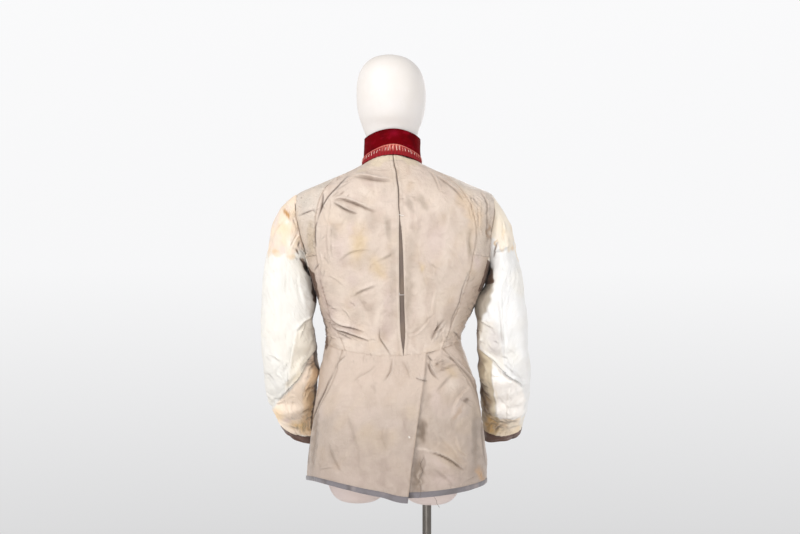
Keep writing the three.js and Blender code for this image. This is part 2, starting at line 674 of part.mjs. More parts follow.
function collarRing(row, angle) {
  const s = Math.sin(radians(angle));
  const c = Math.cos(radians(angle));
  const z = (s > 0 ? row.zRight : row.zLeft) * s * s + (c > 0 ? row.zBack : row.zFront) * c * c;
  return new THREE.Vector3(s * (s > 0 ? row.right : row.left), -c * (c > 0 ? row.back : row.front), z);
}

// f goes from 0 at the neck seam to 1 at the top edge.
function collarPoint(angle, f) {
  const foot = bodyPoint(angle, NECK).add(new THREE.Vector3(0, 0, COLLAR_ABOVE));
  const middle = collarRing(COLLAR[0], angle);
  const top = collarRing(COLLAR[1], angle);
  return foot.multiplyScalar((1 - f) * (1 - 2 * f))
    .addScaledVector(middle, 4 * f * (1 - f))
    .addScaledVector(top, f * (2 * f - 1));
}

function collarGrid() {
  const grid = [];
  const count = 30;
  for (let i = 0; i <= count; i += 1) {
    const angle = -COLLAR_END + 2 * COLLAR_END * i / count;
    const normal = crossNormal(collarPoint, angle, 0.5, 1, 0.05);
    normal.z = 0;
    normal.normalize();
    grid.push(COLLAR_ROWS.map((f) => ({ point: collarPoint(angle, f), normal })));
  }
  return grid;
}

// ---- display form and stand ---------------------------------------------------------------

// A closed skin over rings of points, with a pole point at each end.
function skin(rings, low, high) {
  const around = rings[0].length;
  const positions = [...rings.flat(), low, high];
  const triangles = [];
  const id = (j, i) => j * around + (i % around);
  for (let i = 0; i < around; i += 1) {
    triangles.push([positions.length - 2, id(0, i + 1), id(0, i)]);
    for (let j = 0; j < rings.length - 1; j += 1) {
      triangles.push([id(j, i), id(j, i + 1), id(j + 1, i + 1)], [id(j, i), id(j + 1, i + 1), id(j + 1, i)]);
    }
    triangles.push([id(rings.length - 1, i), id(rings.length - 1, i + 1), positions.length - 1]);
  }
  return solidFrom(positions, triangles);
}

const middleOf = (ring) => ring.reduce((sum, p) => sum.add(p), new THREE.Vector3()).divideScalar(ring.length);

function ovalRing(row, around) {
  const ring = [];
  for (let i = 0; i < around; i += 1) {
    const angle = radians(-180 + 360 * i / around);
    const deep = Math.cos(angle) > 0 ? row.back : row.front;
    ring.push(new THREE.Vector3(row.x + row.across * Math.sin(angle), -deep * Math.cos(angle), row.z));
  }
  return ring;
}

// The form comes close under the cloth only along the shoulders, where the tunic hangs.
function formInset(angle, level) {
  const ridge = Math.exp(-(((Math.abs(angle) - 92) / FORM.seatSpread) ** 2));
  const seat = ridge * smooth(level - FORM.seatFrom) * smooth(FORM.seatTo - level);
  return FORM.inset + (FORM.seat - FORM.inset) * seat;
}

function formRing(level, shrink = 1) {
  const ring = [];
  for (let i = 0; i < FORM_AROUND; i += 1) {
    const angle = -180 + 360 * i / FORM_AROUND;
    const point = bodyPoint(angle, level).addScaledVector(bodyNormal(angle, level), -formInset(angle, level));
    ring.push(point.multiply(new THREE.Vector3(shrink, shrink, 1)));
  }
  return ring;
}

function toManifold(geometry) {
  const bare = geometry.clone();
  bare.deleteAttribute('normal');
  bare.deleteAttribute('uv');
  const merged = mergeVertices(bare);
  return new wasm.Manifold(new wasm.Mesh({
    numProp: 3,
    vertProperties: new Float32Array(merged.attributes.position.array),
    triVerts: new Uint32Array(merged.index.array),
  }));
}

function fromManifold(solid) {
  const mesh = solid.getMesh();
  const geometry = new THREE.BufferGeometry();
  geometry.setAttribute('position', new THREE.Float32BufferAttribute(mesh.vertProperties, 3));
  geometry.setIndex(Array.from(mesh.triVerts));
  return geometry;
}

// A thigh stub: a deep bowl with a flat round bottom.
function thighStub(side) {
  const bottom = STUB.bottom + (side < 0 ? STUB.leftAbove : 0);
  const steps = [0.2, 0.45, 0.65, 0.8, 0.9, 0.96, 0.99].reverse();
  const rings = steps.map((depth) => {
    const reach = (1 - depth ** STUB.square) ** (1 / STUB.square);
    return ovalRing({
      x: side * STUB.x + 2,
      z: STUB.top - depth * (STUB.top - bottom),
      across: STUB.across * reach,
      back: STUB.back * reach,
      front: STUB.front * reach,
    }, 20);
  });
  const low = new THREE.Vector3(side * STUB.x + 2, 0, bottom);
  return skin(rings, low, middleOf(rings.at(-1)));
}

function formTorso() {
  const bottom = { levels: [1.15, 1.02], shrink: [0.93, 0.8] };
  const rings = bottom.levels.map((level, i) => formRing(level, bottom.shrink[i])).reverse();
  rings.push(...FORM_LEVELS.map((level) => formRing(level)));
  rings.push(ovalRing({ ...HEAD[0], z: NECK_TOP }, FORM_AROUND));
  const torso = toManifold(skin(rings, middleOf(rings[0]), middleOf(rings.at(-1))));
  const bore = new THREE.CylinderGeometry(POLE.bore, POLE.bore, POLE.depth + 40, 24);
  bore.rotateX(Math.PI / 2);
  bore.translate(POLE.x, 0, STUB.bottom + POLE.depth - (POLE.depth + 40) / 2);
  return fromManifold(torso
    .add(toManifold(thighStub(-1)))
    .add(toManifold(thighStub(1)))
    .subtract(toManifold(bore)));
}

function formHead() {
  const rings = HEAD.map((row) => ovalRing(row, HEAD_AROUND));
  return skin(rings, middleOf(rings[0]), new THREE.Vector3(HEAD_TOP.x, 0, HEAD_TOP.z));
}

// A turned piece from the half outline of its section, standing on its first point's height.
function turned(outline, sides) {
  const points = outline.map(([radius, height]) => new THREE.Vector2(radius, height));
  const geometry = new THREE.LatheGeometry(points, sides);
  geometry.rotateX(Math.PI / 2);
  geometry.deleteAttribute('normal');
  geometry.deleteAttribute('uv');
  return mergeVertices(geometry, 1e-3);
}

const standBase = () => turned([
  [0, 0],
  [BASE.radius, 0],
  [BASE.radius, BASE.height - BASE.edge],
  [BASE.radius - BASE.edge, BASE.height],
  [0, BASE.height],
], 48);

const socketRing = () => turned([
  [POLE.bore, 0],
  [SOCKET.radius, 0],
  [SOCKET.radius, SOCKET.height - BASE.edge],
  [SOCKET.radius - BASE.edge, SOCKET.height],
  [POLE.bore, SOCKET.height],
  [POLE.bore, 0],
], 24);

function standPole() {
  const foot = BASE.height + 0.3;
  const head = STUB.bottom + POLE.depth - 0.3;
  return turned([[0, foot], [POLE.radius, foot], [POLE.radius, head], [0, head]], 24);
}

// ---- materials and the finished group -----------------------------------------------------

const finish = (color, roughness, metalness = 0) => ({ color, roughness, metalness });
const FINISHES = {
  lining: finish(0xdecab8, 0.42),
  skirt: finish(0xd4c3b9, 0.46),
  shoulder: finish(0xd8cbc2, 0.4),
  front: finish(0xdac8b6, 0.45),
  strip: finish(0x6e6058, 0.85),
  hem: finish(0x8f8886, 0.8),
  patch: finish(0xeee2d6, 0.7),
  sleeve: finish(0xf6efe4, 0.6),
  cuff: finish(0x59453c, 0.9),
  velvet: finish(0x72000d, 0.8),
  band: finish(0xa63432, 0.75),
  form: finish(0xf2eee7, 0.5),
  steel: finish(0x8a8682, 0.35, 0.9),
};

const model = new THREE.Group();

function add(name, geometry, look) {
  const mesh = new THREE.Mesh(geometry, new THREE.MeshStandardMaterial(FINISHES[look]));
  mesh.name = name;
  model.add(mesh);
  return mesh;
}

for (const side of [-1, 1]) {
  const hand = sideName(side);
  add(`back_${hand}`, wall(backGrid(side), CLOTH), 'lining');
  add(`shoulder_${hand}`, wall(shoulderGrid(side), CLOTH), 'shoulder');
  add(`front_${hand}`, wall(frontGrid(side), CLOTH), 'front');
  const sidePanel = sideGrid(side);
  add(`side_${hand}`, wall(sidePanel, CLOTH), 'lining');
  const patch = side < 0 ? { from: 7, to: 11 } : { from: 0, to: 4 };
  const rows = sidePanel[0].length;
  add(`underarm_patch_${hand}`, overlay(sidePanel, patch, { from: rows - 2, to: rows }, STRIP), 'patch');

  const skirtBack = skirtBackGrid(side);
  const skirtFront = skirtFrontGrid(side);
  add(`skirt_back_${hand}`, wall(skirtBack, CLOTH), 'skirt');
  add(`skirt_front_${hand}`, wall(skirtFront, CLOTH), 'skirt');
  add(`hem_facing_back_${hand}`, hemFacing(skirtBack), 'hem');
  add(`hem_facing_front_${hand}`, hemFacing(skirtFront), 'hem');

  add(`top_sleeve_${hand}`, sleevePart(side, HINDARM.front - 360, HINDARM.back, sleeveSteps), 'sleeve');
  add(`under_sleeve_${hand}`, sleevePart(side, HINDARM.back, HINDARM.front, sleeveSteps), 'sleeve');
  add(`cuff_${hand}`, cuff(side), 'cuff');
}
add('centre_back_strip', centreBackStrip(), 'strip');

const collar = collarGrid();
add('collar', wall(collar, VELVET), 'velvet');
add('collar_band', overlay(collar, { from: 0, to: collar.length }, BAND_ROWS, STRIP), 'band');

add('form_torso', formTorso(), 'form');
add('form_head', formHead(), 'form');
add('stand_pole', standPole(), 'steel').position.x = POLE.x;
add('pole_socket', socketRing(), 'steel').position.set(POLE.x, 0, BASE.height + 0.3);
add('stand_base', standBase(), 'steel');

export default model;
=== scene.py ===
"""Looks of a frock tunic, turned inside out, on its display form and stand.

The tables of the body, the sleeves and the collar are the part's own, in millimetres; meshes are
made in metres. Folds, stains, and the shade, sheen and highlights painted on the cloth are placed
as the camera sees them, in pixels of its 800 x 534 frame, and lie on the cloth behind that place.
Widths and heights of folds are millimetres, and stains and patches of painted shade and sheen are
sized in pixels. left and right are the wearer's.
"""
import math

import bpy
import numpy as np
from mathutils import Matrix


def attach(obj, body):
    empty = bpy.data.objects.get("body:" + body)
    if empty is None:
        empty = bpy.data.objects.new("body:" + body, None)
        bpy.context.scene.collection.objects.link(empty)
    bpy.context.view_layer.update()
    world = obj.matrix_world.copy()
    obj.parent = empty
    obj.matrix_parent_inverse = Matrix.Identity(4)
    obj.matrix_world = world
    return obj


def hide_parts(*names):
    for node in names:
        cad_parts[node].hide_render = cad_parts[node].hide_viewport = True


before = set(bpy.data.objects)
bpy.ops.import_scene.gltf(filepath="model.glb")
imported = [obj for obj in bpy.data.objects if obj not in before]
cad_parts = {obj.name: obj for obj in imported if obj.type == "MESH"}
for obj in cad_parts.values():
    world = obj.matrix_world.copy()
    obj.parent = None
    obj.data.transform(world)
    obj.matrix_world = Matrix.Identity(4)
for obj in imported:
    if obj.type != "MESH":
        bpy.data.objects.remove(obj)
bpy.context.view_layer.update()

MM = 0.001
CLOTH = 1.5
VELVET = 2.2
STRIP = 1.1
CUFF_CLOTH = 1.8
LIFT = 0.35

# ---- the form of the garment, as in the part's source ---------------------------------------

# z_back, z_left, z_right, z_front, left, right, back, front, square
BODY = np.array([
    (778, 793, 790, 786, 192, 205.5, 141, 140, 2.35),   # hem
    (840, 843, 843, 842, 192, 208, 139, 137, 2.35),
    (915, 915, 915, 915, 184, 199, 134, 130, 2.3),      # seat
    (975, 975, 975, 975, 175, 191, 126, 122, 2.3),
    (1025, 1030, 1032, 1025, 166, 176, 114, 114, 2.25),
    (1079, 1100, 1108, 1090, 153, 152, 99, 106, 2.2),   # waist seam
    (1125, 1132, 1138, 1130, 153, 161, 97, 108, 2.2),
    (1180, 1178, 1180, 1180, 164, 183, 104, 116, 2.3),
    (1235, 1235, 1235, 1235, 180, 203, 113, 126, 2.4),  # under the arm
    (1290, 1278, 1278, 1285, 194, 215, 119, 132, 2.5),
    (1350, 1340, 1340, 1345, 212, 223, 120, 130, 2.7),  # blade
    (1400, 1398, 1395, 1395, 224, 232, 115, 120, 2.7),
    (1440, 1433, 1430, 1425, 217, 222, 104, 100, 2.5),  # shoulder tip
    (1462, 1450, 1449, 1437, 180, 183, 92, 89, 2.3),
    (1480, 1466, 1468, 1446, 141, 140, 80, 81, 2.2),
    (1496, 1481, 1485, 1454, 104, 99, 72, 74, 2.1),
    (1517, 1498, 1501, 1463, 70, 62.5, 63, 68, 2.0),      # neck
], float)
WAIST = 5
NECK = 16
HEM_RISE = dict(left=16, right=2, until=1.5)

# level, x of the seam, space between the two lining edges
CENTRE_BACK = np.array([
    (5, 22, 0.6), (6, 21, 10), (7, 19, 10.5), (8, 18, 10), (9, 17, 9), (10, 15, 6), (10.6, 13, 0.8),
    (11, 12, 2.4), (12, 11, 3), (13, 8, 3), (14, 6, 2.6), (15, 2, 2), (16, -1, 1.4),
])
STRIP_HALF = 9
PATCH = dict(left_from=72, right_from=70, to=88, high=42)    # degrees, and mm below the armhole

# level, left, right
BACK_SEAM = np.array([
    (5, 106, 106), (6, 122, 121), (7, 144, 143), (8, 157, 160), (9, 167, 172), (10, 172, 181),
    (11, 166, 172), (12, 152, 153), (13, 138, 134), (14, 117, 113), (15, 88, 83), (16, 67, 60),
])
SHOULDER_SEAM = np.array([(12, 91), (12.4, 99), (13, 106), (14, 109), (15, 107), (16, 104)], float)
SIDE_PLEAT = np.array([
    (0, 83, 86), (1, 79, 84), (2, 74, 80), (3, 60.5, 72), (4, 48.5, 61), (5, 45, 43.5),
])
VENT_EDGE = np.array([(0, 30.6), (1, 38), (2, 49), (3, 57.5), (4, 66), (5, 73)], float)

ARMHOLE = dict(angle=91, level=10.5, high=1.5, behind=19, ahead=21, square=3)
VENT = dict(under=35, recess=2.8, blend=26, lift=9, lift_over=75, drop=9, drop_over=60)
FRONT = dict(overlap=12, recess=3.4, blend=25, hem=2.2)
PLEAT = dict(lift=1.5, over=22)
HEM_TOP = 0.2                 # level of the hem facing's upper edge

# x, y, z, across, depth, roll, pitch
SLEEVE_LEFT = np.array([
    (-210, 2, 1359, 77, 58, 80, 0), (-223.5, 2, 1338, 73.5, 64, 67.6, 0), (-233, 2, 1310, 65.4, 66, 53.4,
    0),
    (-237, 2, 1281, 58.5, 66, 41, 0), (-238.5, 2, 1251, 59, 65, 31, 0), (-239.5, 2, 1208, 56.5, 63, 15, 0),
    (-239, 4, 1140, 59, 62, 3, 0), (-236, 10, 1090, 62, 61, 0, 5), (-232, 24, 1040, 62, 62, 0, 22),
    (-235, 52, 995, 58, 59, 0, 40), (-232, 84, 961, 53, 56, 3, 43), (-228, 110, 932, 50, 51, 8, 37),
    (-223, 132, 904, 47, 47, 13, 32), (-220.5, 140, 891, 46.5, 46, 15, 28),
])
SLEEVE_RIGHT = np.array([
    (227.5, 2, 1347, 69, 58, 82, 0), (238.5, 2, 1319, 57.4, 64, 67, 0), (242, 2, 1298, 52.6, 66, 58, 0),
    (243, 2, 1275, 47, 66, 47, 0), (246, 2, 1254, 45.6, 65, 38, 0), (240.5, 2, 1205, 53, 63, 13, 0),
    (243.5, 4, 1132, 57.5, 62, 0, 0), (246.5, 10, 1085, 56.5, 61, 0, 5), (252, 24, 1037, 58, 62, 0, 20),
    (254, 50, 989, 57, 59, 0, 36), (255.5, 82, 959, 53, 56, 2, 42), (257, 108, 931, 49.5, 51, 6, 36),
    (256, 130, 907, 46.5, 47, 10, 31), (254.5, 138, 895, 46, 46, 12, 28),
])
SLEEVE = dict(square=2.15, loop_reach=1.5, loop_inside=0.3, loop_above=0.5, cuff=12, end=13)
ARM_SEAM = dict(front=-100, high=97, low=88)
SLEEVE_BULGE = dict(left=11, right=5)         # towards the body under the arm
SLEEVE_DROP = 13                              # of the right sleeve's end on its outer side
CUFF_HANG = dict(inner=9, outer=3)

# x1, z1, x2, z2, width, height
BODY_FOLDS = np.array([
    (-148, 1176, -64, 1112, 17, 4), (-144, 1140, -105, 1117, 14, 3), (-92, 1474, -6, 1460, 15, 2.5),
    (-100, 1424, -34, 1395, 18, 3), (-100, 1330, -40, 1180, 34, 3.5), (120, 1330, 60, 1180, 34, 3),
    (140, 1150, 90, 1110, 16, 3.5), (55, 868, 150, 815, 24, 6), (163, 972, 120, 905, 24, 5),
    (-10, 1140, -42, 1010, 16, -3), (-105, 1020, -150, 830, 32, 4),
], float)
# degrees and sections of the two ends, width, height
SLEEVE_FOLDS = np.array([
    (60, 7.1, 200, 7.5, 22, -5), (55, 7.9, 215, 8.1, 20, 4), (40, 8.9, 190, 8.6, 24, -6),
    (20, 9.9, 150, 9.2, 24, 5), (150, 5.6, 260, 6.3, 22, -4),
])
SLEEVE_SCALE = np.array([1.02, 46])

# z_back, z_left, z_right, z_front, left, right, back, front
COLLAR = np.array([
    (1545, 1528, 1529, 1486, 67, 61, 60.5, 64),
    (1575, 1558, 1558, 1512, 65, 60.5, 58, 60),
])
COLLAR_END = 175
COLLAR_ABOVE = 0.5
BAND = dict(low=0.05, under=0.03, high=0.6)   # shares of the collar's height

FORM_INSET = 12.5
# z, x, across, back, front
HEAD = np.array([
    (1530.3, -3, 54, 47, 51), (1559, -4, 56, 48, 68), (1581, -5, 63, 55, 88), (1604, -5, 71, 70, 100),
    (1629, -5, 76.5, 79, 108), (1657, -5, 78, 84, 112), (1684, -6, 76, 83, 109), (1707, -7, 69.5, 76, 99),
    (1726, -8, 57, 62, 80), (1739.5, -9, 39, 42, 54), (1746, -9, 17, 18, 24),
])
HEAD_TOP = (-9, 1747.5)
HEAD_FOOT = 1530
HEAD_CAP = [(0.75, 0.6), (0.45, 1.1), (0.2, 1.4)]       # shrink, rise above the last row
TORSO = dict(low=1.25, high=15.9, rows=60, around=72, voxel=6, smoothings=6)
# degrees, levels and inset of the ridge that the jacket's shoulders rest on
SEAT = dict(angle=92, over=30, low=12.2, high=15.2, inset=2.9)
STUB = dict(x=81, shift=2, top=905, bottom=741, left_above=4, across=75, back=88, front=86, square=4)
POLE = dict(x=75, radius=10, foot=8.3, head=850.7)
BASE = dict(radius=210, height=8, edge=2.5)
SOCKET = dict(bore=10.45, radius=19, foot=8.3, height=45)

# ---- camera ---------------------------------------------------------------------------------

CAMERA = dict(x=14.6, y=-2600, z=1271, lens=52, sensor=36)
FRAME_PX = dict(width=800, height=534)
PIXEL = CAMERA["sensor"] / CAMERA["lens"] * -CAMERA["y"] / FRAME_PX["width"]   # mm at the middle


def seen(points):
    """Where the camera sees points given in millimetres, in pixels of its frame."""
    near = CAMERA["y"] / (CAMERA["y"] - points[..., 1])
    across = FRAME_PX["width"] / 2 + (points[..., 0] - CAMERA["x"]) / PIXEL * near
    down = FRAME_PX["height"] / 2 - (points[..., 2] - CAMERA["z"]) / PIXEL * near
    return np.stack([across, down], -1)


# ---- curves through tables ------------------------------------------------------------------

def clamp01(v):
    return np.clip(v, 0, 1)


def smooth(v):
    v = clamp01(v)
    return v * v * (3 - 2 * v)


def bell(v, width):
    return np.exp(-(v / width) ** 2)


def power(v, p):
    return np.sign(v) * np.abs(v) ** p


def row_at(rows, t):
    """The rows between the rows of a table, by their numbers in it."""
    t = np.asarray(t, float)
    last = len(rows) - 1
    i = np.clip(np.floor(t).astype(int), 0, last - 1)
    f = (t - i)[..., None]
    b, c = rows[i], rows[i + 1]
    a = np.where((i > 0)[..., None], rows[np.maximum(i - 1, 0)], 2 * b - c)
    d = np.where((i + 1 < last)[..., None], rows[np.minimum(i + 2, last)], 2 * c - b)
    return b + 0.5 * f * (c - a + f * (2 * a - 5 * b + 4 * c - d + f * (3 * (b - c) + d - a)))


def line_at(rows, column, level):
    """A column of a table whose first column is a level, between its rows."""
    level = np.asarray(level, float)
    last = len(rows) - 1
    levels, values = rows[:, 0], rows[:, column]
    low = np.maximum(np.arange(last + 1) - 1, 0)
    high = np.minimum(np.arange(last + 1) + 1, last)
    slope = (values[high] - values[low]) / (levels[high] - levels[low])
    i = np.clip(np.searchsorted(levels, level, side="right") - 1, 0, last - 1)
    run = levels[i + 1] - levels[i]
    f = clamp01((level - levels[i]) / run)
    h = f * f * (3 - 2 * f)
    bend = run * (slope[i] * f * (1 - f) ** 2 - slope[i + 1] * f * f * (1 - f))
    return values[i] * (1 - h) + values[i + 1] * h + bend


def cross_normal(at, u, v, du, dv):
    normal = np.cross(at(u + du, v) - at(u - du, v), at(u, v + dv) - at(u, v - dv))
    return normal / np.linalg.norm(normal, axis=-1, keepdims=True)


# ---- the body -------------------------------------------------------------------------------

def ring_point(rows, angle, square):
    """A point on rings of the nine or eight columns of BODY and COLLAR."""
    s, c = np.sin(np.radians(angle)), np.cos(np.radians(angle))
    across = np.where(s > 0, rows[..., 5], rows[..., 4])
    deep = np.where(c > 0, rows[..., 6], rows[..., 7])
    z_side = np.where(s > 0, rows[..., 2], rows[..., 1])
    z_end = np.where(c > 0, rows[..., 0], rows[..., 3])
    p = 2 / square
    return np.stack([power(s, p) * across, -power(c, p) * deep, z_side * s * s + z_end * c * c], -1)


def body_point(angle, level):
    angle, level = np.broadcast_arrays(np.asarray(angle, float), np.asarray(level, float))
    rows = row_at(BODY, level)
    point = ring_point(rows, angle, rows[..., 8])
    rise = np.where(angle > 0, HEM_RISE["right"], HEM_RISE["left"]) * np.abs(np.sin(2 * np.radians(angle)))
    point[..., 2] += rise * smooth(1 - level / HEM_RISE["until"])
    return point


def body_normal(angle, level):
    return cross_normal(body_point, angle, level, 1.5, 0.03)


def angle_at(x, level):
    rows = row_at(BODY, level)
    reach = np.where(x > 0, rows[..., 5], rows[..., 4])
    share = np.minimum(1, np.abs(x) / reach)
    return np.sign(x) * np.degrees(np.arcsin(share ** (rows[..., 8] / 2)))


def fold_height(folds, u, v, scale=(1, 1)):
    """The large folds of the part's solids: soft ridges between two places."""
    total = np.zeros(np.broadcast(u, v).shape)
    u, v = u * scale[0], v * scale[1]
    for u1, v1, u2, v2, width, height in folds:
        u1, v1, u2, v2 = u1 * scale[0], v1 * scale[1], u2 * scale[0], v2 * scale[1]
        du, dv = u2 - u1, v2 - v1
        length = math.hypot(du, dv)
        share = clamp01(((u - u1) * du + (v - v1) * dv) / length ** 2)
        off = np.minimum(1, np.abs((u - u1) * dv - (v - v1) * du) / length / width)
        total += height * (1 - off * off) ** 2 * np.sin(math.pi * share) ** 0.8
    return total


def back_seam(side):
    column = 1 if side < 0 else 2
    return lambda level: angle_at(side * line_at(BACK_SEAM, column, level), level)


def centre_back(side):
    return lambda level: angle_at(
        line_at(CENTRE_BACK, 1, level) + side * line_at(CENTRE_BACK, 2, level) / 2, level)


def armhole_place(psi):
    p = 2 / ARMHOLE["square"]
    return power(np.sin(np.radians(psi)), p), power(np.cos(np.radians(psi)), p)


def armhole_share(off):
    return (1 - clamp01(np.abs(off)) ** ARMHOLE["square"]) ** (1 / ARMHOLE["square"])


def armhole_angle(level, reach):
    return ARMHOLE["angle"] + reach * armhole_share((level - ARMHOLE["level"]) / ARMHOLE["high"])


def armhole_bottom(angle):
    off = np.abs(angle) - ARMHOLE["angle"]
    reach = np.where(off < 0, ARMHOLE["behind"], ARMHOLE["ahead"])
    return ARMHOLE["level"] - ARMHOLE["high"] * armhole_share(off / reach)


SIDE_TOP = float(ARMHOLE["level"] + ARMHOLE["high"] * armhole_place(140)[1])
SIDE_END = float(ARMHOLE["angle"] - armhole_place(220)[0] * ARMHOLE["ahead"])


def shoulder_outer(side):
    return lambda level: side * np.where(
        level < 12, armhole_angle(level, -ARMHOLE["behind"]), line_at(SHOULDER_SEAM, 1, level))


def front_inner(side):
    return lambda level: side * np.where(
        level < 12, armhole_angle(np.maximum(level, SIDE_TOP), ARMHOLE["ahead"]),
        line_at(SHOULDER_SEAM, 1, level))


def front_outer(side):
    return lambda level: side * (180 + angle_at(np.float64(FRONT["overlap"]), level))


def front_recess(side):
    def recess(level, point):
        past = FRONT["overlap"] + FRONT["blend"] - point[..., 0]
        depth = FRONT["recess"] + FRONT["hem"] * smooth(2 - 3 * level)
        return -depth * smooth(past / FRONT["blend"]) * (side > 0)
    return recess


def vent_x(level):
    return line_at(VENT_EDGE, 1, level)


def pleat(side):
    column = 1 if side < 0 else 2
    return lambda level: side * line_at(SIDE_PLEAT, column, level)


def skirt_lift(side):
    """What the solids add to the back of the skirt at its pleat and at the vent."""
    def lift(level, point):
        edge = body_point(pleat(side)(level), level)
        off = np.linalg.norm(point - edge, axis=-1)
        height = PLEAT["lift"] * smooth(1 - off / PLEAT["over"]) * clamp01(WAIST - level)
        inward = vent_x(level) - point[..., 0]
        if side < 0:
            near = smooth(1 - inward / VENT["lift_over"])
            return height + VENT["lift"] * near * (1 - level / WAIST) ** 1.3
        return height - VENT["recess"] * smooth((inward + VENT["blend"]) / VENT["blend"] * 1.6)
    return lift


# ---- sleeves --------------------------------------------------------------------------------

def armhole_loop(side, psi):
    back, high = armhole_place(psi)
    centre = body_point(side * ARMHOLE["angle"], ARMHOLE["level"])
    reach = np.where(back > 0, ARMHOLE["behind"], ARMHOLE["ahead"])
    angle = side * (ARMHOLE["angle"] - back * reach)
    level = ARMHOLE["level"] + high * ARMHOLE["high"]
    point = body_point(angle, level)
    inward = centre - point
    inward /= np.linalg.norm(inward, axis=-1, keepdims=True)
    return point + inward * SLEEVE["loop_inside"] + body_normal(angle, level) * SLEEVE["loop_above"]


def sleeve_point(side, psi, s):
    psi, s = np.broadcast_arrays(np.asarray(psi, float), np.maximum(np.asarray(s, float), 0))
    rows = row_at(SLEEVE_LEFT if side < 0 else SLEEVE_RIGHT, s)
    roll, pitch = np.radians(rows[..., 5]), np.radians(rows[..., 6])
    none = np.zeros_like(roll)
    across = np.stack([side * np.cos(roll), none, np.sin(roll)], -1)
    backward = np.stack([none, -np.cos(pitch), -np.sin(pitch)], -1)
    p = 2 / SLEEVE["square"]
    reach_across = rows[..., 3] * power(np.cos(np.radians(psi)), p)
    reach_back = rows[..., 4] * power(np.sin(np.radians(psi)), p)
    point = rows[..., :3] + across * reach_across[..., None] + backward * reach_back[..., None]
    weight = np.maximum(0, 1 - s / SLEEVE["loop_reach"])[..., None] ** 2
    return point * (1 - weight) + armhole_loop(side, psi) * weight


def sleeve_normal(side, psi, s):
    return side * cross_normal(lambda u, v: sleeve_point(side, u, v), psi, s, 2, 0.04)


# ---- noise ----------------------------------------------------------------------------------

def wander(places, size, seed, waves=9):
    """Smooth noise of about -1 to 1, whose lumps are about size apart. Each use has its own seed."""
    rng = np.random.default_rng(seed)
    total = np.zeros(places.shape[:-1])
    for _ in range(waves):
        way = rng.normal(size=places.shape[-1])
        way *= 2 * math.pi / (size * rng.uniform(0.7, 1.6) * np.linalg.norm(way))
        total += np.cos(places @ way + rng.uniform(0, 2 * math.pi))
    return total / math.sqrt(waves / 2) / 1.6


def warped(spots, size, seed, much):
    """Places moved a little to and fro, so that what is drawn at them has no straight edge."""
    return spots + much * np.stack([wander(spots, size, seed), wander(spots, size, seed + 1)], -1)


def crumple(places, size, seed, stretch=(1, 1)):
    """Flat facets between soft ridges, as stiff silk falls. 0 in the hollows, 1 on the ridges."""
    rng = np.random.default_rng(seed)
    flat = places * np.array(stretch)
    low, high = flat.reshape(-1, 2).min(0) - size, flat.reshape(-1, 2).max(0) + size
    count = max(4, int(np.prod((high - low) / size)))
    cells = rng.uniform(low, high, (count, 2))
    first = np.full(flat.shape[:-1], 1e9)
    second = first.copy()
    for cell in cells:
        off = np.linalg.norm(flat - cell, axis=-1)
        second = np.minimum(second, np.maximum(first, off))
        first = np.minimum(first, off)
    return 1 - smooth((second - first) / size)


# ---- marks placed as the camera sees them ---------------------------------------------------

def drawn(places, steps=5):
    """A smooth line through a few places."""
    rows = np.array(places, float)
    if len(rows) == 2:
        return rows
    return row_at(rows, np.linspace(0, len(rows) - 1, steps * (len(rows) - 1) + 1))


def from_line(spots, line):
    """Distance of spots from a line, more than 0 above one drawn to the right, and their share of it."""
    best = np.full(spots.shape[:-1], 1e9)
    sign = np.ones_like(best)
    share = np.zeros_like(best)
    runs = np.linalg.norm(np.diff(line, axis=0), axis=1)
    starts = np.concatenate([[0], np.cumsum(runs)])
    for k, run in enumerate(runs):
        way = (line[k + 1] - line[k]) / run
        rel = spots - line[k]
        along = np.clip(rel @ way, 0, run)
        off = np.linalg.norm(rel - along[..., None] * way, axis=-1)
        near = off < best
        best = np.where(near, off, best)
        turn = rel[..., 0] * way[1] - rel[..., 1] * way[0]
        sign = np.where(near, np.where(turn < 0, -1, 1), sign)
        share = np.where(near, (starts[k] + along) / starts[-1], share)
    return best * sign, share


def in_polygon(spots, corners):
    """Distance of spots from a polygon's outline, more than 0 inside."""
    corners = np.array(corners, float)
    best = np.full(spots.shape[:-1], 1e9)
    inside = np.zeros(spots.shape[:-1], bool)
    x, y = spots[..., 0], spots[..., 1]
    for a, b in zip(corners, np.roll(corners, -1, axis=0)):
        way = b - a
        rel = spots - a
        t = clamp01(rel @ way / (way @ way))
        best = np.minimum(best, np.linalg.norm(rel - t[..., None] * way, axis=-1))
        crosses = (a[1] > y) != (b[1] > y)
        if a[1] != b[1]:
            inside ^= crosses & (x < (b[0] - a[0]) * (y - a[1]) / (b[1] - a[1]) + a[0])
    return np.where(inside, best, -best)


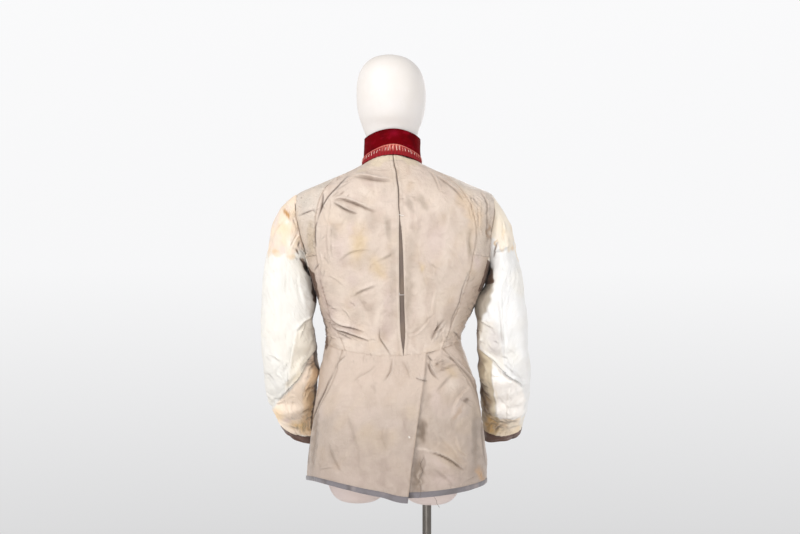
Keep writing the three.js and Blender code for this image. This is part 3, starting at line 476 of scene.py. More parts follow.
PALETTE = {
    "back": (209, 189, 174), "back_rose": (216, 196, 188), "back_gold": (216, 190, 152),
    # back_grey and back_pale are also painted shade and painted sheen on the silk
    "back_grey": (184, 167, 152), "back_pale": (230, 214, 200), "brown": (176, 152, 132),
    # skirt_dark is also painted shade on the skirts
    "skirt": (185, 168, 155), "skirt_low": (178, 160, 148), "skirt_dark": (160, 143, 129),
    # deep is also painted shadow beside the vent, and silver is a painted satin sheen
    "deep": (138, 120, 104), "shoulder": (216, 203, 190), "silver_sheen": (210, 199, 187),
    "tan": (204, 184, 160), "mauve": (184, 162, 152), "allowance": (216, 199, 174), "peach": (224, 198,
    170),
    # line is also painted shade in creases; wool and black_wool_and_shade are also painted shade between
    # sleeve and body
    "line": (104, 82, 66), "wool": (92, 62, 44), "black_wool_and_shade": (52, 40, 34), "umber": (150, 112, 72),
    "strip": (120, 106, 97), "front": (218, 200, 184), "smudge": (158, 140, 128), "corner": (200, 164, 130),
    # white is also a painted highlight beside creases
    "gold": (214, 176, 120), "white": (252, 249, 244), "cream": (253, 248, 238),
    "left_sleeve": (247, 244, 238), "right_sleeve": (251, 250, 249), "peach_sleeve": (254, 231, 202),
    "pink_sleeve": (254, 226, 216), "stain": (236, 200, 150), "scar": (196, 146, 88),
    # beige_sleeve_shade is painted shade where a sleeve turns in; tan_sleeve is the lower left sleeve's tan
    # made lighter, with painted light
    "beige_sleeve_shade": (240, 230, 214), "tan_sleeve": (264, 229, 184), "gold_sleeve": (262, 220, 152),
    "low_sleeve": (253, 240, 219), "cap_sleeve": (238, 214, 199), "grey_sleeve": (206, 200, 190),
    # band_sleeve_shade is painted shade on the sleeves' inner sides and folds
    "shade_sleeve": (158, 142, 119), "band_sleeve_shade": (214, 196, 164),
    # lilac_sleeve_shade is painted shade on the right under-sleeve; rose_sleeve is the lower left sleeve's
    # pale colour made lighter, with painted light
    "brown_sleeve": (182, 152, 117), "lilac_sleeve_shade": (228, 221, 219), "rose_sleeve": (272, 250, 228),
    # bright_sleeve_painted_light is whiter than the cotton: painted light on the right forearm
    "bright_sleeve_painted_light": (268, 262, 256),
    "cuff": (112, 86, 76), "cuff_dark": (70, 52, 46), "hem": (126, 121, 125), "hem_dark": (104, 98, 98),
    "patch": (246, 238, 228), "velvet": (108, 0, 8), "velvet_dark": (80, 0, 7),
    "band": (150, 20, 30), "pink": (228, 136, 120), "pale_pink": (262, 226, 212), "thread": (96, 80, 68),
    "form": (238, 233, 230), "form_low": (238, 221, 216), "steel": (126, 121, 116),
    # velvet_painted_glint is a painted glint on the collar
    "steel_dark": (102, 97, 91), "velvet_worn": (170, 20, 48), "velvet_painted_glint": (176, 24, 60),
    "floor": (240, 238, 236),
}
LIGHT_GAIN = 0.82             # what the light adds to a colour, turned back into the cloth's own


def tone(name):
    """A colour of the palette as a cloth's own, in linear light."""
    v = np.array(PALETTE[name], float) / 255
    return np.where(v <= 0.04045, v / 12.92, ((v + 0.055) / 1.055) ** 2.4) * LIGHT_GAIN


def rgba(name):
    return (*tone(name), 1)


# Folds and creases of the body: name, places, half width mm, height mm, kind, shade
BODY_CREASES = [
    ("neck_fold", [(354, 176), (366, 177.5), (377, 179.5), (391, 180)], 9, 3.6, "step", 0.62),
    ("neck_small", [(377, 169.5), (385, 169), (392, 168.7)], 5, 0.8, "step", 0.12),
    ("shoulder_fold", [(334, 200), (341, 198.5), (349, 200.5), (360, 205), (375, 211.5)], 9, 3.8,
     "step", 0.66),
    ("shoulder_fold_2", [(333.8, 202), (340, 205.7), (348, 210), (357, 213.5)], 8, 3.2, "step", 0.7),
    ("dart", [(323.5, 193), (323, 200), (321.7, 205.7), (320, 213)], 4.4, 1.8, "trough", 0.8),
    ("seam_lip", [(352, 174.5), (343.5, 182), (334, 192), (326.5, 202), (321.5, 212), (318, 222)], 6,
     2.4, "ridge", 0.0),
    ("seam_line", [(349, 176), (340, 184.5), (331, 194), (324.5, 203), (320.2, 212), (317.6, 221)], 4.4,
     2.0, "trough", 0.85),
    ("under_seam", [(317.6, 221), (315.5, 227), (315.2, 238), (316, 247)], 4, 1.6, "trough", 0.85),
    ("crinkle_1", [(341, 184), (348, 181)], 3, 0.8, "trough", 0.2),
    ("crinkle_2", [(336, 190), (350, 182)], 3, 0.9, "trough", 0.22),
    ("crinkle_3", [(332, 197), (339, 191)], 3, 0.8, "trough", 0.2),
    ("soft_1", [(328, 222), (327, 240), (328.5, 262)], 6, 1.2, "step", 0.1),
    ("soft_2", [(332, 230), (331.5, 246), (333, 258)], 6, 0.8, "step", 0.06),
    ("tan_tuck", [(321, 240), (325, 236)], 3, 0.8, "trough", 0.2),
    ("yoke_seam", [(299, 215.6), (304.5, 213.5), (311.5, 210.6), (316, 210.5)], 3.8, 1.3, "trough",
     0.6),
    ("yoke_step", [(316, 210.5), (319, 208)], 3, 0.7, "trough", 0.2),
    ("armpit_crease", [(313.8, 271), (316, 267.5), (319, 263.4)], 4, 1.5, "trough", 0.55),
    ("armpit_fold", [(319, 252), (321.5, 262), (321, 275)], 5, 1.3, "step", 0.12),
    ("waist_fold_1", [(327, 311), (333, 319), (341, 324.5), (352, 327.5), (364, 332)], 8, 3.2, "step",
     0.5),
    ("waist_fold_2", [(330, 321), (336, 328.6), (345.4, 332), (356, 335.7), (369.5, 341)], 8, 3.6,
     "step", 0.62),
    ("waist_fold_3", [(337.5, 331.5), (345, 335.3), (352, 339)], 6, 2.4, "step", 0.42),
    ("pucker_1", [(325.5, 303.5), (330.5, 307)], 4, 1.2, "trough", 0.35),
    ("pucker_2", [(326, 308), (333, 316)], 4, 1.2, "trough", 0.2),
    ("pucker_3", [(331, 334), (330, 341), (325.7, 348)], 4, 1.2, "trough", 0.3),
    ("waist_crease", [(380.2, 327.7), (380.4, 338), (385.5, 346.4), (392, 356.3)], 5, 2.0, "step", 0.4),
    ("below_waist", [(392.7, 358), (391, 371), (386, 379)], 6, 1.8, "step", 0.34),
    ("blade_edge", [(352.5, 297.5), (360.5, 291), (375, 285.5)], 10, 2.6, "step", 0.22),
    ("blade_low", [(356, 296), (362, 302), (368, 313)], 9, 1.4, "trough", 0.08),
    ("blade_line", [(328.4, 276), (336.4, 279.5), (344, 286)], 4, 0.9, "step", 0.14),
    ("blade_soft", [(376, 262), (388, 256), (398, 246)], 14, 1.8, "step", 0.06),
    ("blade_soft_2", [(338, 262), (352, 252), (372, 250)], 13, 1.6, "step", 0.05),
    ("right_neck", [(428.4, 170), (432, 172.7), (436.5, 180.7), (440.5, 191)], 6, 1.6, "step", 0.26),
    ("right_seam_lip", [(437, 176), (447, 182), (456.5, 189.5), (464.5, 200)], 6, 2.2, "step", 0.42),
    ("right_seam_2", [(470, 196), (475, 200), (479, 206.5)], 4, 1.1, "trough", 0.28),
    ("right_arm_fold", [(481, 191.4), (486, 199), (488, 206), (487.4, 216)], 5, 2.2, "step", 0.42),
    ("right_arm_seam", [(487.4, 216), (487, 228), (486.4, 240)], 4, 1.2, "trough", 0.34),
    ("right_arm_2", [(478.5, 206), (479.5, 220), (478, 232)], 6, 1.2, "step", 0.1),
    ("right_yoke", [(490, 197), (496, 205)], 4, 0.8, "trough", 0.12),
    ("right_inner", [(471.5, 229), (469.5, 244), (473, 257)], 9, 2.6, "trough", 0.2),
    ("right_inner_2", [(464, 238), (467, 250), (466, 262)], 8, 1.8, "ridge", 0.0),
    ("right_seam_dark", [(469, 270), (464, 284), (458.8, 303.6), (452.5, 317.9), (449, 329)], 3.2, 1.2,
     "trough", 0.42),
    ("right_seam_edge", [(471.5, 272), (466.5, 285), (461, 304), (454.8, 318), (451, 328)], 3.6, 1.2,
     "ridge", 0),
    ("right_lower", [(448, 329.5), (443.6, 342), (440, 356.3)], 5, 1.6, "ridge", 0),
    ("right_tuck", [(452.6, 331), (457, 334.8), (459.8, 338.5)], 4, 1.8, "trough", 0.5),
    ("side_pucker_1", [(472, 303), (476, 306)], 3.5, 1.3, "trough", 0.4),
    ("side_pucker_2", [(468.5, 308), (472, 311)], 3.5, 1.2, "trough", 0.4),
    ("side_pucker_3", [(467, 318), (471, 319)], 3.5, 1.2, "trough", 0.35),
    ("side_pucker_4", [(472, 298), (478, 296)], 3.5, 1.0, "trough", 0.25),
    ("side_pucker_5", [(463, 321), (467, 327)], 3.5, 1.0, "trough", 0.2),
    ("side_line", [(471.5, 288), (478, 285.5)], 3.5, 1.0, "trough", 0.25),
    ("right_drag_1", [(445, 320), (438, 328.6), (432, 341)], 8, 2.2, "step", 0.62),
    ("right_drag_2", [(446, 324), (441, 331), (438, 335)], 5, 1.3, "step", 0.14),
    ("right_drag_3", [(428, 322), (418, 332), (408, 336)], 9, 1.6, "step", 0.06),
    ("vent_tuck", [(428, 355), (433, 361)], 4, 1.8, "trough", 0.5),
    ("vent_crease", [(428.4, 361.6), (432, 369.6), (437, 377.5)], 6, 2.4, "step", 0.4),
    ("vent_lap", [(402.5, 359), (408, 370.5), (412, 379.5)], 7, 1.6, "step", 0.18),
    ("vent_thread", [(415.5, 377.5), (420, 379.8), (427.5, 380.6)], 2.4, 0.4, "trough", 0.5),
    ("hip_pleat", [(443.6, 353.6), (454, 359.8), (461.4, 367), (470.4, 376.8), (476, 388), (480, 400)],
     6, 2.4, "step", 0.42),
    ("hip_fold", [(438, 371.5), (447, 367), (457, 363.5)], 9, 2.2, "step", 0.18),
    ("hip_fold_2", [(436, 392), (444, 382), (452, 374)], 12, 2.0, "step", 0.08),
    ("hip_ridge", [(470, 385), (458, 398), (452, 412)], 12, 2.2, "step", 0.08),
    ("left_pleat_top", [(346, 356), (340, 362), (334.6, 370)], 5, 1.9, "step", 0.5),
    ("left_pleat", [(334.6, 370), (324, 391.6), (315, 412.3), (310.5, 430), (309, 448), (309, 466)], 5,
     2.2, "trough", 0.8),
    ("below_waist_2", [(377, 365), (369, 372), (361, 376), (354, 382)], 6, 1.2, "step", 0.18),
    ("below_waist_3", [(391, 371), (388, 377), (383.4, 382)], 4, 1.0, "step", 0.22),
    ("vent_small_1", [(432, 357), (430, 366), (433.5, 374), (440, 380)], 4, 1.2, "step", 0.3),
    ("vent_small_2", [(444, 359), (443, 364), (441, 369)], 3.4, 1.0, "step", 0.24),
    ("left_side_fold", [(326, 352), (318, 375), (314, 392)], 5, 1.2, "step", 0.12),
    ("left_band", [(321, 402), (316, 425), (313.5, 452), (311, 472)], 9, 2.2, "trough", 0.1),
    ("left_patch_1", [(387, 422), (383, 438), (388, 452), (377, 458)], 11, 1.2, "step", 0.05),
    ("left_patch_2", [(331, 443), (334, 457), (341, 472)], 11, 2.0, "step", 0.1),
    ("left_patch_3", [(320, 469.5), (334, 467)], 5, 1.0, "step", 0.08),
    ("left_patch_4", [(340, 448), (350, 447)], 4, 0.8, "step", 0.06),
    ("skirt_soft_1", [(352, 372), (366, 395), (372, 420)], 22, 0.8, "step", 0.0),
    ("skirt_soft_2", [(345, 410), (356, 440), (362, 480)], 22, 1.6, "step", 0.0),
    ("skirt_soft_3", [(392, 395), (396, 430), (392, 480)], 14, 1.4, "step", 0.0),
    ("hem_wrinkle", [(380, 492), (386, 491), (392, 490.5)], 3, 0.8, "step", 0.12),
    ("vent_fold", [(414, 446), (421, 448), (428, 450.5), (441, 455.5)], 9, 2.6, "ridge", 0.0),
    ("long_crease", [(429, 451.5), (441.4, 455.4), (452.2, 461.3), (464, 470)], 6, 3.2, "step", 0.56),
    ("above_crease", [(440, 436), (451, 449), (463, 462)], 12, 2.0, "step", 0.07),
    ("low_soft", [(433, 468), (448, 480), (456, 490)], 12, 1.6, "step", 0.07),
    ("vent_shadow", [(423, 421), (424.5, 432), (423.5, 447)], 9, 4.5, "trough", 0.2),
    ("vent_shadow_2", [(423, 454), (425, 463), (422.4, 472)], 6, 2.6, "trough", 0.28),
    ("vent_seam", [(422.4, 461), (419, 475), (419.9, 486), (419, 495)], 4, 1.6, "ridge", 0.0),
    ("corner_line", [(463, 483), (470, 479), (479, 475)], 4, 0.9, "step", 0.12),
    ("side_band", [(474, 405), (477, 430), (476, 455), (474, 478)], 12, 2.0, "trough", 0.06),
    ("edge_line", [(481.5, 415), (482.5, 438), (485.5, 466)], 3.5, 1.2, "step", 0.6),
]

SLEEVE_CREASES = [
    ("left_slit_1", [(299.2, 241.4), (297.6, 247)], 4, 2.3, "trough", 0.68),
    ("left_slit_2", [(295.5, 248.8), (299, 254.6)], 4, 2.3, "trough", 0.68),
    ("left_slit_3", [(299.4, 257.4), (304, 263)], 5, 3.1, "trough", 0.7),
    ("left_shoulder_pull", [(286, 202), (292, 215), (298, 226)], 7, 2.1, "step", 0.08),
    ("left_cap_fold", [(284, 222), (276, 232), (272, 246)], 9, 2.3, "step", 0.07),
    ("left_cap_fold_2", [(300, 226), (296, 238), (289, 250)], 6, 2, "step", 0.11),
    ("left_inner_1", [(296, 331), (303, 323), (312, 316)], 7, 3.4, "step", 0.16),
    ("left_inner_2", [(300, 338), (304, 327), (309, 318)], 6, 2.3, "step", 0.11),
    ("left_beige_edge", [(296, 330), (292, 352), (289, 372)], 9, 2.6, "step", 0.07),
    ("left_big_fold", [(278, 401), (288, 390), (297, 379.5), (303.5, 369), (311, 359), (316.5, 349)],
     10, 5.5, "step", 0.3),
    ("left_big_ridge", [(312, 352), (303, 361), (294.5, 373), (284, 384)], 8, 3.9, "ridge", 0),
    ("left_tan_1", [(316.5, 358), (310, 364), (304, 371)], 4, 2.3, "trough", 0.38),
    ("left_tan_2", [(317, 364), (312.5, 367.5), (309, 371)], 4, 2.1, "trough", 0.41),
    ("left_tan_3", [(317, 386), (310, 392), (304, 402)], 6, 2.3, "step", 0.16),
    ("left_low_1", [(314, 409), (307, 410), (302, 413)], 5, 2.1, "step", 0.24),
    ("left_low_2", [(312, 417), (305, 420)], 4, 1.6, "trough", 0.27),
    ("left_low_3", [(303.5, 422), (303, 433)], 2.6, 1.6, "trough", 0.43),
    ("left_low_4", [(298, 424), (297, 431)], 2.6, 1.2, "trough", 0.24),
    ("left_low_5", [(308, 421), (309, 431)], 2.6, 1.2, "trough", 0.27),
    ("left_tan_4", [(316.6, 352), (311, 359.5), (305, 364.5), (300, 371)], 4, 2.0, "trough", 0.5),
    ("left_tan_5", [(317.4, 360), (313, 364), (308, 366.5)], 3.6, 1.6, "trough", 0.55),
    ("left_tan_6", [(315, 388), (309, 391), (304, 392.5)], 4, 1.6, "step", 0.3),
    ("left_cuff_1", [(290, 425), (294, 428), (300, 429)], 3.4, 1.2, "trough", 0.3),
    ("left_cuff_2", [(305, 422), (305.5, 427), (304, 432)], 3, 1.2, "trough", 0.4),
    ("left_cuff_3", [(309, 409), (304, 411), (299, 415)], 4, 1.4, "step", 0.3),
    ("left_out_1", [(264, 373.4), (269.5, 375), (274.5, 380)], 4, 1.6, "trough", 0.22),
    ("left_out_2", [(268, 354.6), (275, 357.5), (282, 363)], 6, 1.8, "step", 0.09),
    ("left_out_3", [(284, 362), (276, 372), (283, 380)], 6, 1.6, "step", 0.08),
    ("left_out_4", [(268, 396), (276, 404), (284, 403)], 6, 2, "step", 0.09),
    ("left_long_1", [(282, 270), (284, 300), (283, 335)], 10, 1.6, "step", 0),
    ("left_long_2", [(296, 275), (300, 295), (304, 310)], 9, 1.6, "step", 0.03),
    ("right_dark_fold", [(497.7, 241.6), (495.2, 248), (493.5, 258)], 5, 3.1, "trough", 0.54),
    ("right_cap_1", [(503, 220), (504, 232), (502.5, 243)], 6, 2.1, "step", 0.08),
    ("right_cap_2", [(512, 226), (515, 238), (514, 249)], 6, 1.6, "step", 0.07),
    ("right_cap_3", [(493, 252), (503, 250), (511, 244)], 6, 2.1, "step", 0.08),
    ("right_big_fold", [(481, 350), (488, 357), (496, 364), (503, 371), (509, 377), (516, 380.5),
     (524, 388)], 8, 5.7, "step", 0.14),
    ("right_upper_1", [(480, 320), (486, 324.5), (494.5, 329)], 6, 2.3, "step", 0.19),
    ("right_upper_2", [(477, 328), (481, 338), (480, 346)], 5, 2.1, "step", 0.16),
    ("right_seam", [(498.5, 300), (500.5, 320), (503.5, 346), (506.5, 369)], 4, 2.1, "step", 0.19),
    ("right_low_seam", [(491, 366), (493.4, 384), (494.4, 400), (499, 419)], 5, 1.8, "step", 0.11),
    ("right_inner_1", [(480, 388), (485, 396), (490, 401)], 5, 2.6, "step", 0.62),
    ("right_inner_2", [(482, 398), (487, 405), (492, 409)], 5, 2.6, "step", 0.3),
    ("right_inner_3", [(479, 376), (484, 384), (488, 388)], 5, 2.1, "step", 0.62),
    ("right_inner_4", [(480, 362), (485, 368), (486, 378)], 5, 1.8, "step", 0.16),
    ("right_inner_5", [(478.5, 384), (483, 392), (489, 397.5)], 4, 1.8, "trough", 0.7),
    ("right_inner_6", [(480, 393), (485, 402), (491, 407)], 4.4, 2.0, "trough", 0.55),
    ("right_inner_7", [(482, 404), (487, 412), (493, 415.5)], 4, 1.6, "trough", 0.5),
    ("right_inner_8", [(486, 415), (492, 419), (499, 421.5), (506, 421)], 4, 1.6, "trough", 0.4),
    ("right_cuff_1", [(487, 428), (492, 423.5), (498, 424.5)], 3.6, 1.2, "trough", 0.4),
    ("right_cuff_2", [(495, 431.5), (499, 427), (504, 428)], 3.6, 1.4, "trough", 0.5),
    ("right_cuff_3", [(502, 417.5), (509, 421), (517, 421.5)], 3.4, 1.2, "trough", 0.35),
    ("right_low_1", [(494, 417), (505, 422.5), (518, 420)], 4, 2.3, "trough", 0.32),
    ("right_low_2", [(486, 424), (494, 421), (501, 424), (509, 423)], 4, 2.1, "step", 0.27),
    ("right_low_3", [(495, 430), (498, 426.5), (502, 425)], 3.4, 1.8, "trough", 0.46),
    ("right_low_4", [(506, 417), (512, 418.5), (518, 415)], 4, 1.8, "trough", 0.16),
    ("right_low_5", [(508, 429), (514, 426), (519, 425)], 3.4, 1.3, "trough", 0.22),
]

# Creases of the hidden front, placed as if seen through the form
FRONT_CREASES = [
    ("chest_1", [(350, 205), (362, 225), (380, 240)], 10, 2.2, "step", 0.12),
    ("chest_2", [(448, 205), (436, 226), (420, 242)], 10, 2.2, "step", 0.12),
    ("waist_1", [(330, 318), (350, 326), (376, 330)], 8, 2.4, "step", 0.2),
    ("waist_2", [(334, 330), (352, 336), (370, 344)], 8, 2.6, "step", 0.22),
    ("waist_3", [(466, 316), (448, 326), (424, 331)], 8, 2.4, "step", 0.2),
    ("waist_4", [(462, 330), (446, 338), (430, 342)], 7, 2.0, "step", 0.18),
    ("arm_1", [(326, 262), (342, 270), (358, 282)], 8, 2.0, "step", 0.14),
    ("arm_2", [(474, 262), (460, 270), (446, 284)], 8, 2.0, "step", 0.14),
    ("skirt_1", [(350, 380), (344, 420), (336, 470)], 16, 3.0, "step", 0.08),
    ("skirt_2", [(440, 376), (450, 420), (456, 474)], 16, 3.0, "step", 0.08),
    ("skirt_3", [(376, 420), (368, 450), (366, 486)], 14, 2.2, "step", 0.05),
]

# Soft patches: name, x, y, half width, half height, tilt, colour, strength, softness
BODY_PATCHES = [
    ("blade_gold", 359, 243, 13, 34, 4, "back_gold", 0.75, 1.0),
    ("blade_gold_2", 378, 268, 12, 22, -30, "back_gold", 0.7, 1.0),
    ("blade_gold_3", 384, 276, 7, 8, -40, "gold", 0.28, 1.0),
    ("blade_rose", 340, 250, 12, 26, 0, "back_rose", 0.6, 1.0),
    ("blade_dark", 334, 231, 6, 12, 0, "back_grey", 0.7, 1.0),
    ("blade_dark_2", 350, 216, 14, 7, 20, "back_grey", 0.4, 1.0),
    ("blade_pale", 350, 228, 5, 14, 10, "back_rose", 0.6, 1.0),
    ("blade_brown", 349, 262, 20, 9, 10, "brown", 0.20, 1.0),
    ("blade_grey", 388, 228, 5, 18, -6, "back_grey", 0.9, 0.8),
    ("blade_brown_2", 354, 303, 10, 9, 30, "back_rose", 0.6, 1.0),
    ("blade_green", 386, 262, 8, 18, 30, "tan", 0.30, 1.0),
    ("left_rose_low", 388, 300, 10, 45, 0, "back_rose", 0.55, 1.0),
    ("left_pale", 346, 292, 16, 14, 20, "back_pale", 0.7, 1.0),
    ("left_pale_2", 362, 318, 22, 12, 20, "back_pale", 0.35, 1.0),
    ("left_side", 330, 316, 9, 26, -15, "mauve", 0.75, 1.0),
    ("left_side_2", 322, 290, 6, 26, -10, "mauve", 0.6, 1.0),
    ("left_waist", 350, 330, 20, 6, 16, "mauve", 0.5, 1.0),
    ("left_of_strip", 386, 330, 9, 26, 0, "mauve", 0.3, 1.0),
    ("waist_pink", 350, 344, 18, 5, 8, "back_pale", 0.5, 1.0),
    ("shoulder_pale", 364, 192, 20, 8, 10, "back_pale", 0.6, 1.0),
    ("upper_grey", 384, 190, 6, 10, 0, "back_grey", 0.35, 1.0),
    ("right_dark_1", 410, 205, 4.5, 13, -18, "skirt_dark", 0.55, 0.7),
    ("right_dark_2", 423, 203, 5.5, 12, -28, "back_grey", 0.75, 0.7),
    ("right_rose", 436, 240, 24, 40, 0, "back_rose", 0.55, 1.0),
    ("right_grey", 412, 250, 10, 30, 0, "back_grey", 0.45, 1.0),
    ("right_gold", 422, 268, 5, 9, 0, "back_gold", 0.7, 1.0),
    ("right_grey_low", 408, 300, 8, 34, 0, "back_grey", 0.6, 1.0),
    ("right_rose_low", 416, 322, 12, 10, -30, "brown", 0.16, 1.0),
    ("right_pale_low", 440, 300, 12, 36, 8, "back_pale", 0.5, 1.0),
    ("right_peach", 472, 215, 8, 27, -5, "peach", 0.8, 1.0),
    ("right_peach_2", 480, 218, 6, 24, 0, "peach", 0.7, 1.0),
    ("right_peach_3", 465, 204, 9, 24, -26, "peach", 0.7, 1.0),
    ("right_arm_gold", 488, 230, 3, 12, 4, "umber", 0.7, 0.8),
    # Painted shade in the fold of the right back
    ("right_fold_shade", 470.5, 245, 5, 16, 6, "tan", 0.6, 0.9),
    # Painted light on the right shoulder, which lies in shade
    ("right_shoulder_painted_light", 492, 203, 8, 12, 25, "back_pale", 0.75, 0.8),
    ("side_brown", 466, 305, 12, 30, 18, "brown", 0.55, 0.9),
    ("side_brown_2", 473, 292, 7, 20, 12, "brown", 0.4, 0.9),
    ("side_silver", 477, 262, 5, 12, 0, "back_rose", 0.7, 0.9),
    ("side_waist", 461, 348, 9, 17, -24, "brown", 0.55, 0.9),
    # Painted sheen and painted shade of two facets of the silk on the right hip
    ("hip_facet", 452, 384, 9, 15, 35, "back_pale", 0.6, 0.8),
    ("hip_facet_dark", 440, 366, 10, 7, -25, "brown", 0.4, 0.8),
    ("hip_gold", 452, 372, 11, 9, 30, "back_gold", 0.45, 0.9),
    ("hip_brown", 440, 368, 8, 8, -20, "brown", 0.28, 1.0),
    # Painted satin sheen on the left shoulder yoke
    ("yoke_silver", 307, 203, 12, 10, -8, "silver_sheen", 0.85, 0.8),
    ("yoke_smudge", 300.7, 197.8, 1.8, 1.2, -25, "smudge", 0.8, 1.0),
    ("yoke_smudge_2", 302.6, 195.6, 1.0, 0.9, 0, "smudge", 0.6, 1.0),
    ("tan_shoulder", 311, 240, 6.5, 26, 0, "tan", 0.85, 0.7),
    ("tan_end", 312, 255, 4.5, 3.5, 0, "brown", 0.4, 0.6),
    ("armpit_rose", 318, 276, 5, 14, -10, "back_rose", 0.4, 0.9),
    ("allowance_left", 378, 163, 16, 4.5, -22, "allowance", 0.8, 0.7),
    ("allowance_right", 411, 161, 14, 4.5, 22, "allowance", 0.8, 0.7),
    ("neck_edge", 361, 172, 7, 4, -20, "allowance", 0.6, 0.8),
    ("waist_brown", 330, 352, 5, 16, 12, "brown", 0.4, 0.9),
    ("streak_left", 392, 285, 5, 66, 0, "back_grey", 0.5, 1.0),
    ("streak_right", 409.5, 280, 5, 68, 0, "back_grey", 0.55, 1.0),
    # Facets of the silk, lighter or darker: painted sheen and painted shade
    ("facet_1", 372, 222, 9, 16, -28, "back_grey", 0.32, 0.9),
    ("facet_2", 362, 262, 8, 16, 30, "back_grey", 0.34, 0.9),
    ("facet_3", 374, 284, 12, 9, -36, "back_pale", 0.4, 0.9),
    ("facet_4", 352, 280, 9, 10, 24, "back_rose", 0.5, 0.9),
    ("facet_5", 437, 212, 9, 15, 24, "back_pale", 0.32, 0.9),
    ("facet_6", 415, 228, 7, 16, -20, "back_grey", 0.3, 0.9),
    ("facet_7", 446, 318, 7, 16, 30, "back_grey", 0.3, 0.9),
    # Long lighter bands on the backs: painted sheen
    ("light_left", 379, 305, 7, 44, 6, "back_pale", 0.7, 1.0),
    ("light_left_2", 362, 215, 6, 26, 14, "back_pale", 0.55, 1.0),
    ("light_right", 420, 300, 6, 50, -6, "back_pale", 0.6, 1.0),
    ("light_right_2", 446, 250, 8, 50, 8, "back_pale", 0.6, 1.0),
    ("centre_brown", 395.6, 168, 2.2, 17, -11, "brown", 0.8, 1.0),
    ("centre_brown_2", 400, 198, 1.6, 16, -4, "brown", 0.6, 1.0),
    ("skirt_top_gold", 368, 372, 36, 16, 0, "back", 0.5, 1.0),
    ("skirt_pale_left", 350, 416, 26, 26, 0, "back", 0.28, 1.0),
    ("skirt_pale_right", 452, 446, 24, 40, 0, "back", 0.28, 1.0),
    ("skirt_warm_right", 452, 458, 20, 28, 0, "back_gold", 0.22, 1.0),
    ("skirt_stain_1", 374.5, 387.5, 3.6, 8, 0, "smudge", 0.36, 1.0),
    ("skirt_stain_3", 386, 406, 3, 2, 0, "smudge", 0.2, 0.9),
    # Painted shade in a hollow of the left skirt
    ("skirt_patch_1", 385, 438, 8, 15, 5, "skirt_dark", 0.45, 1.0),
    ("skirt_patch_2", 334, 456, 8, 14, -20, "skirt_dark", 0.5, 1.0),
    ("skirt_patch_3", 338, 466, 7, 8, 0, "brown", 0.35, 0.9),
    # Painted shadow in the left side pleat
    ("skirt_left_pleat_shadow", 314.5, 440, 4.5, 44, 4, "skirt_dark", 0.85, 0.8),
    ("skirt_green", 365, 442, 14, 16, 0, "tan", 0.22, 1.0),
    ("skirt_edge_grey", 405, 424, 5, 22, -3, "skirt_low", 0.7, 0.9),
    ("vent_stain_1", 404, 424, 1.6, 8, -18, "smudge", 0.35, 0.8),
    ("vent_stain_2", 407.5, 432, 1.4, 4, -20, "smudge", 0.4, 0.8),
    ("white_spot", 408.8, 438.5, 0.7, 1.6, 0, "white", 0.9, 0.7),
    ("low_rose", 352, 480, 40, 12, 8, "back_rose", 0.20, 1.0),
    # Painted shadow that the lifted vent flap casts on the skirt beneath it
    ("vent_flap_shadow_1", 422.5, 432, 7, 17, 2, "deep", 0.95, 0.75),
    ("vent_flap_shadow_2", 418, 475, 8, 30, 4, "deep", 0.9, 0.8),
    # Painted highlights on the fold and the seam beside the vent
    ("vent_fold_highlight", 424, 449.5, 12, 2.6, 14, "back_pale", 0.5, 0.8),
    ("vent_seam_highlight", 419.5, 478, 2.2, 14, 4, "back_pale", 0.4, 0.8),
    ("right_skirt_grey", 427, 400, 7, 20, 5, "skirt_dark", 0.45, 0.9),
    ("right_skirt_rose", 436, 400, 7, 22, 0, "back_rose", 0.40, 0.9),
    ("right_skirt_grey_2", 448, 400, 4, 24, 0, "skirt_dark", 0.18, 0.9),
    ("spot", 466.5, 400.6, 5.4, 3.8, -38, "smudge", 1.0, 0.9),
    ("spot_core", 467.5, 400, 3.2, 2.2, -38, "line", 0.55, 0.9),
    ("spot_tail", 457, 413, 3.4, 17, 34, "brown", 0.7, 0.8),
    ("spot_tail_2", 450, 425, 5.5, 13, 30, "skirt_dark", 0.45, 0.9),
    ("right_side_band", 475.5, 440, 5.5, 46, -2, "skirt_dark", 0.75, 0.8),
    ("right_corner", 481, 475, 6, 12, -24, "corner", 1.0, 0.9),
    ("right_edge_pink", 484, 440, 2, 30, -4, "back_rose", 0.5, 0.8),
    # Painted shade above the long crease and painted light below it
    ("above_crease_shade", 440, 447, 14, 5, 32, "skirt_dark", 0.35, 0.9),
    ("below_crease_highlight", 440, 465, 14, 7, 25, "back_rose", 0.35, 0.9),
    ("low_right_pink", 446, 480, 26, 14, -5, "back_rose", 0.5, 1.0),
]

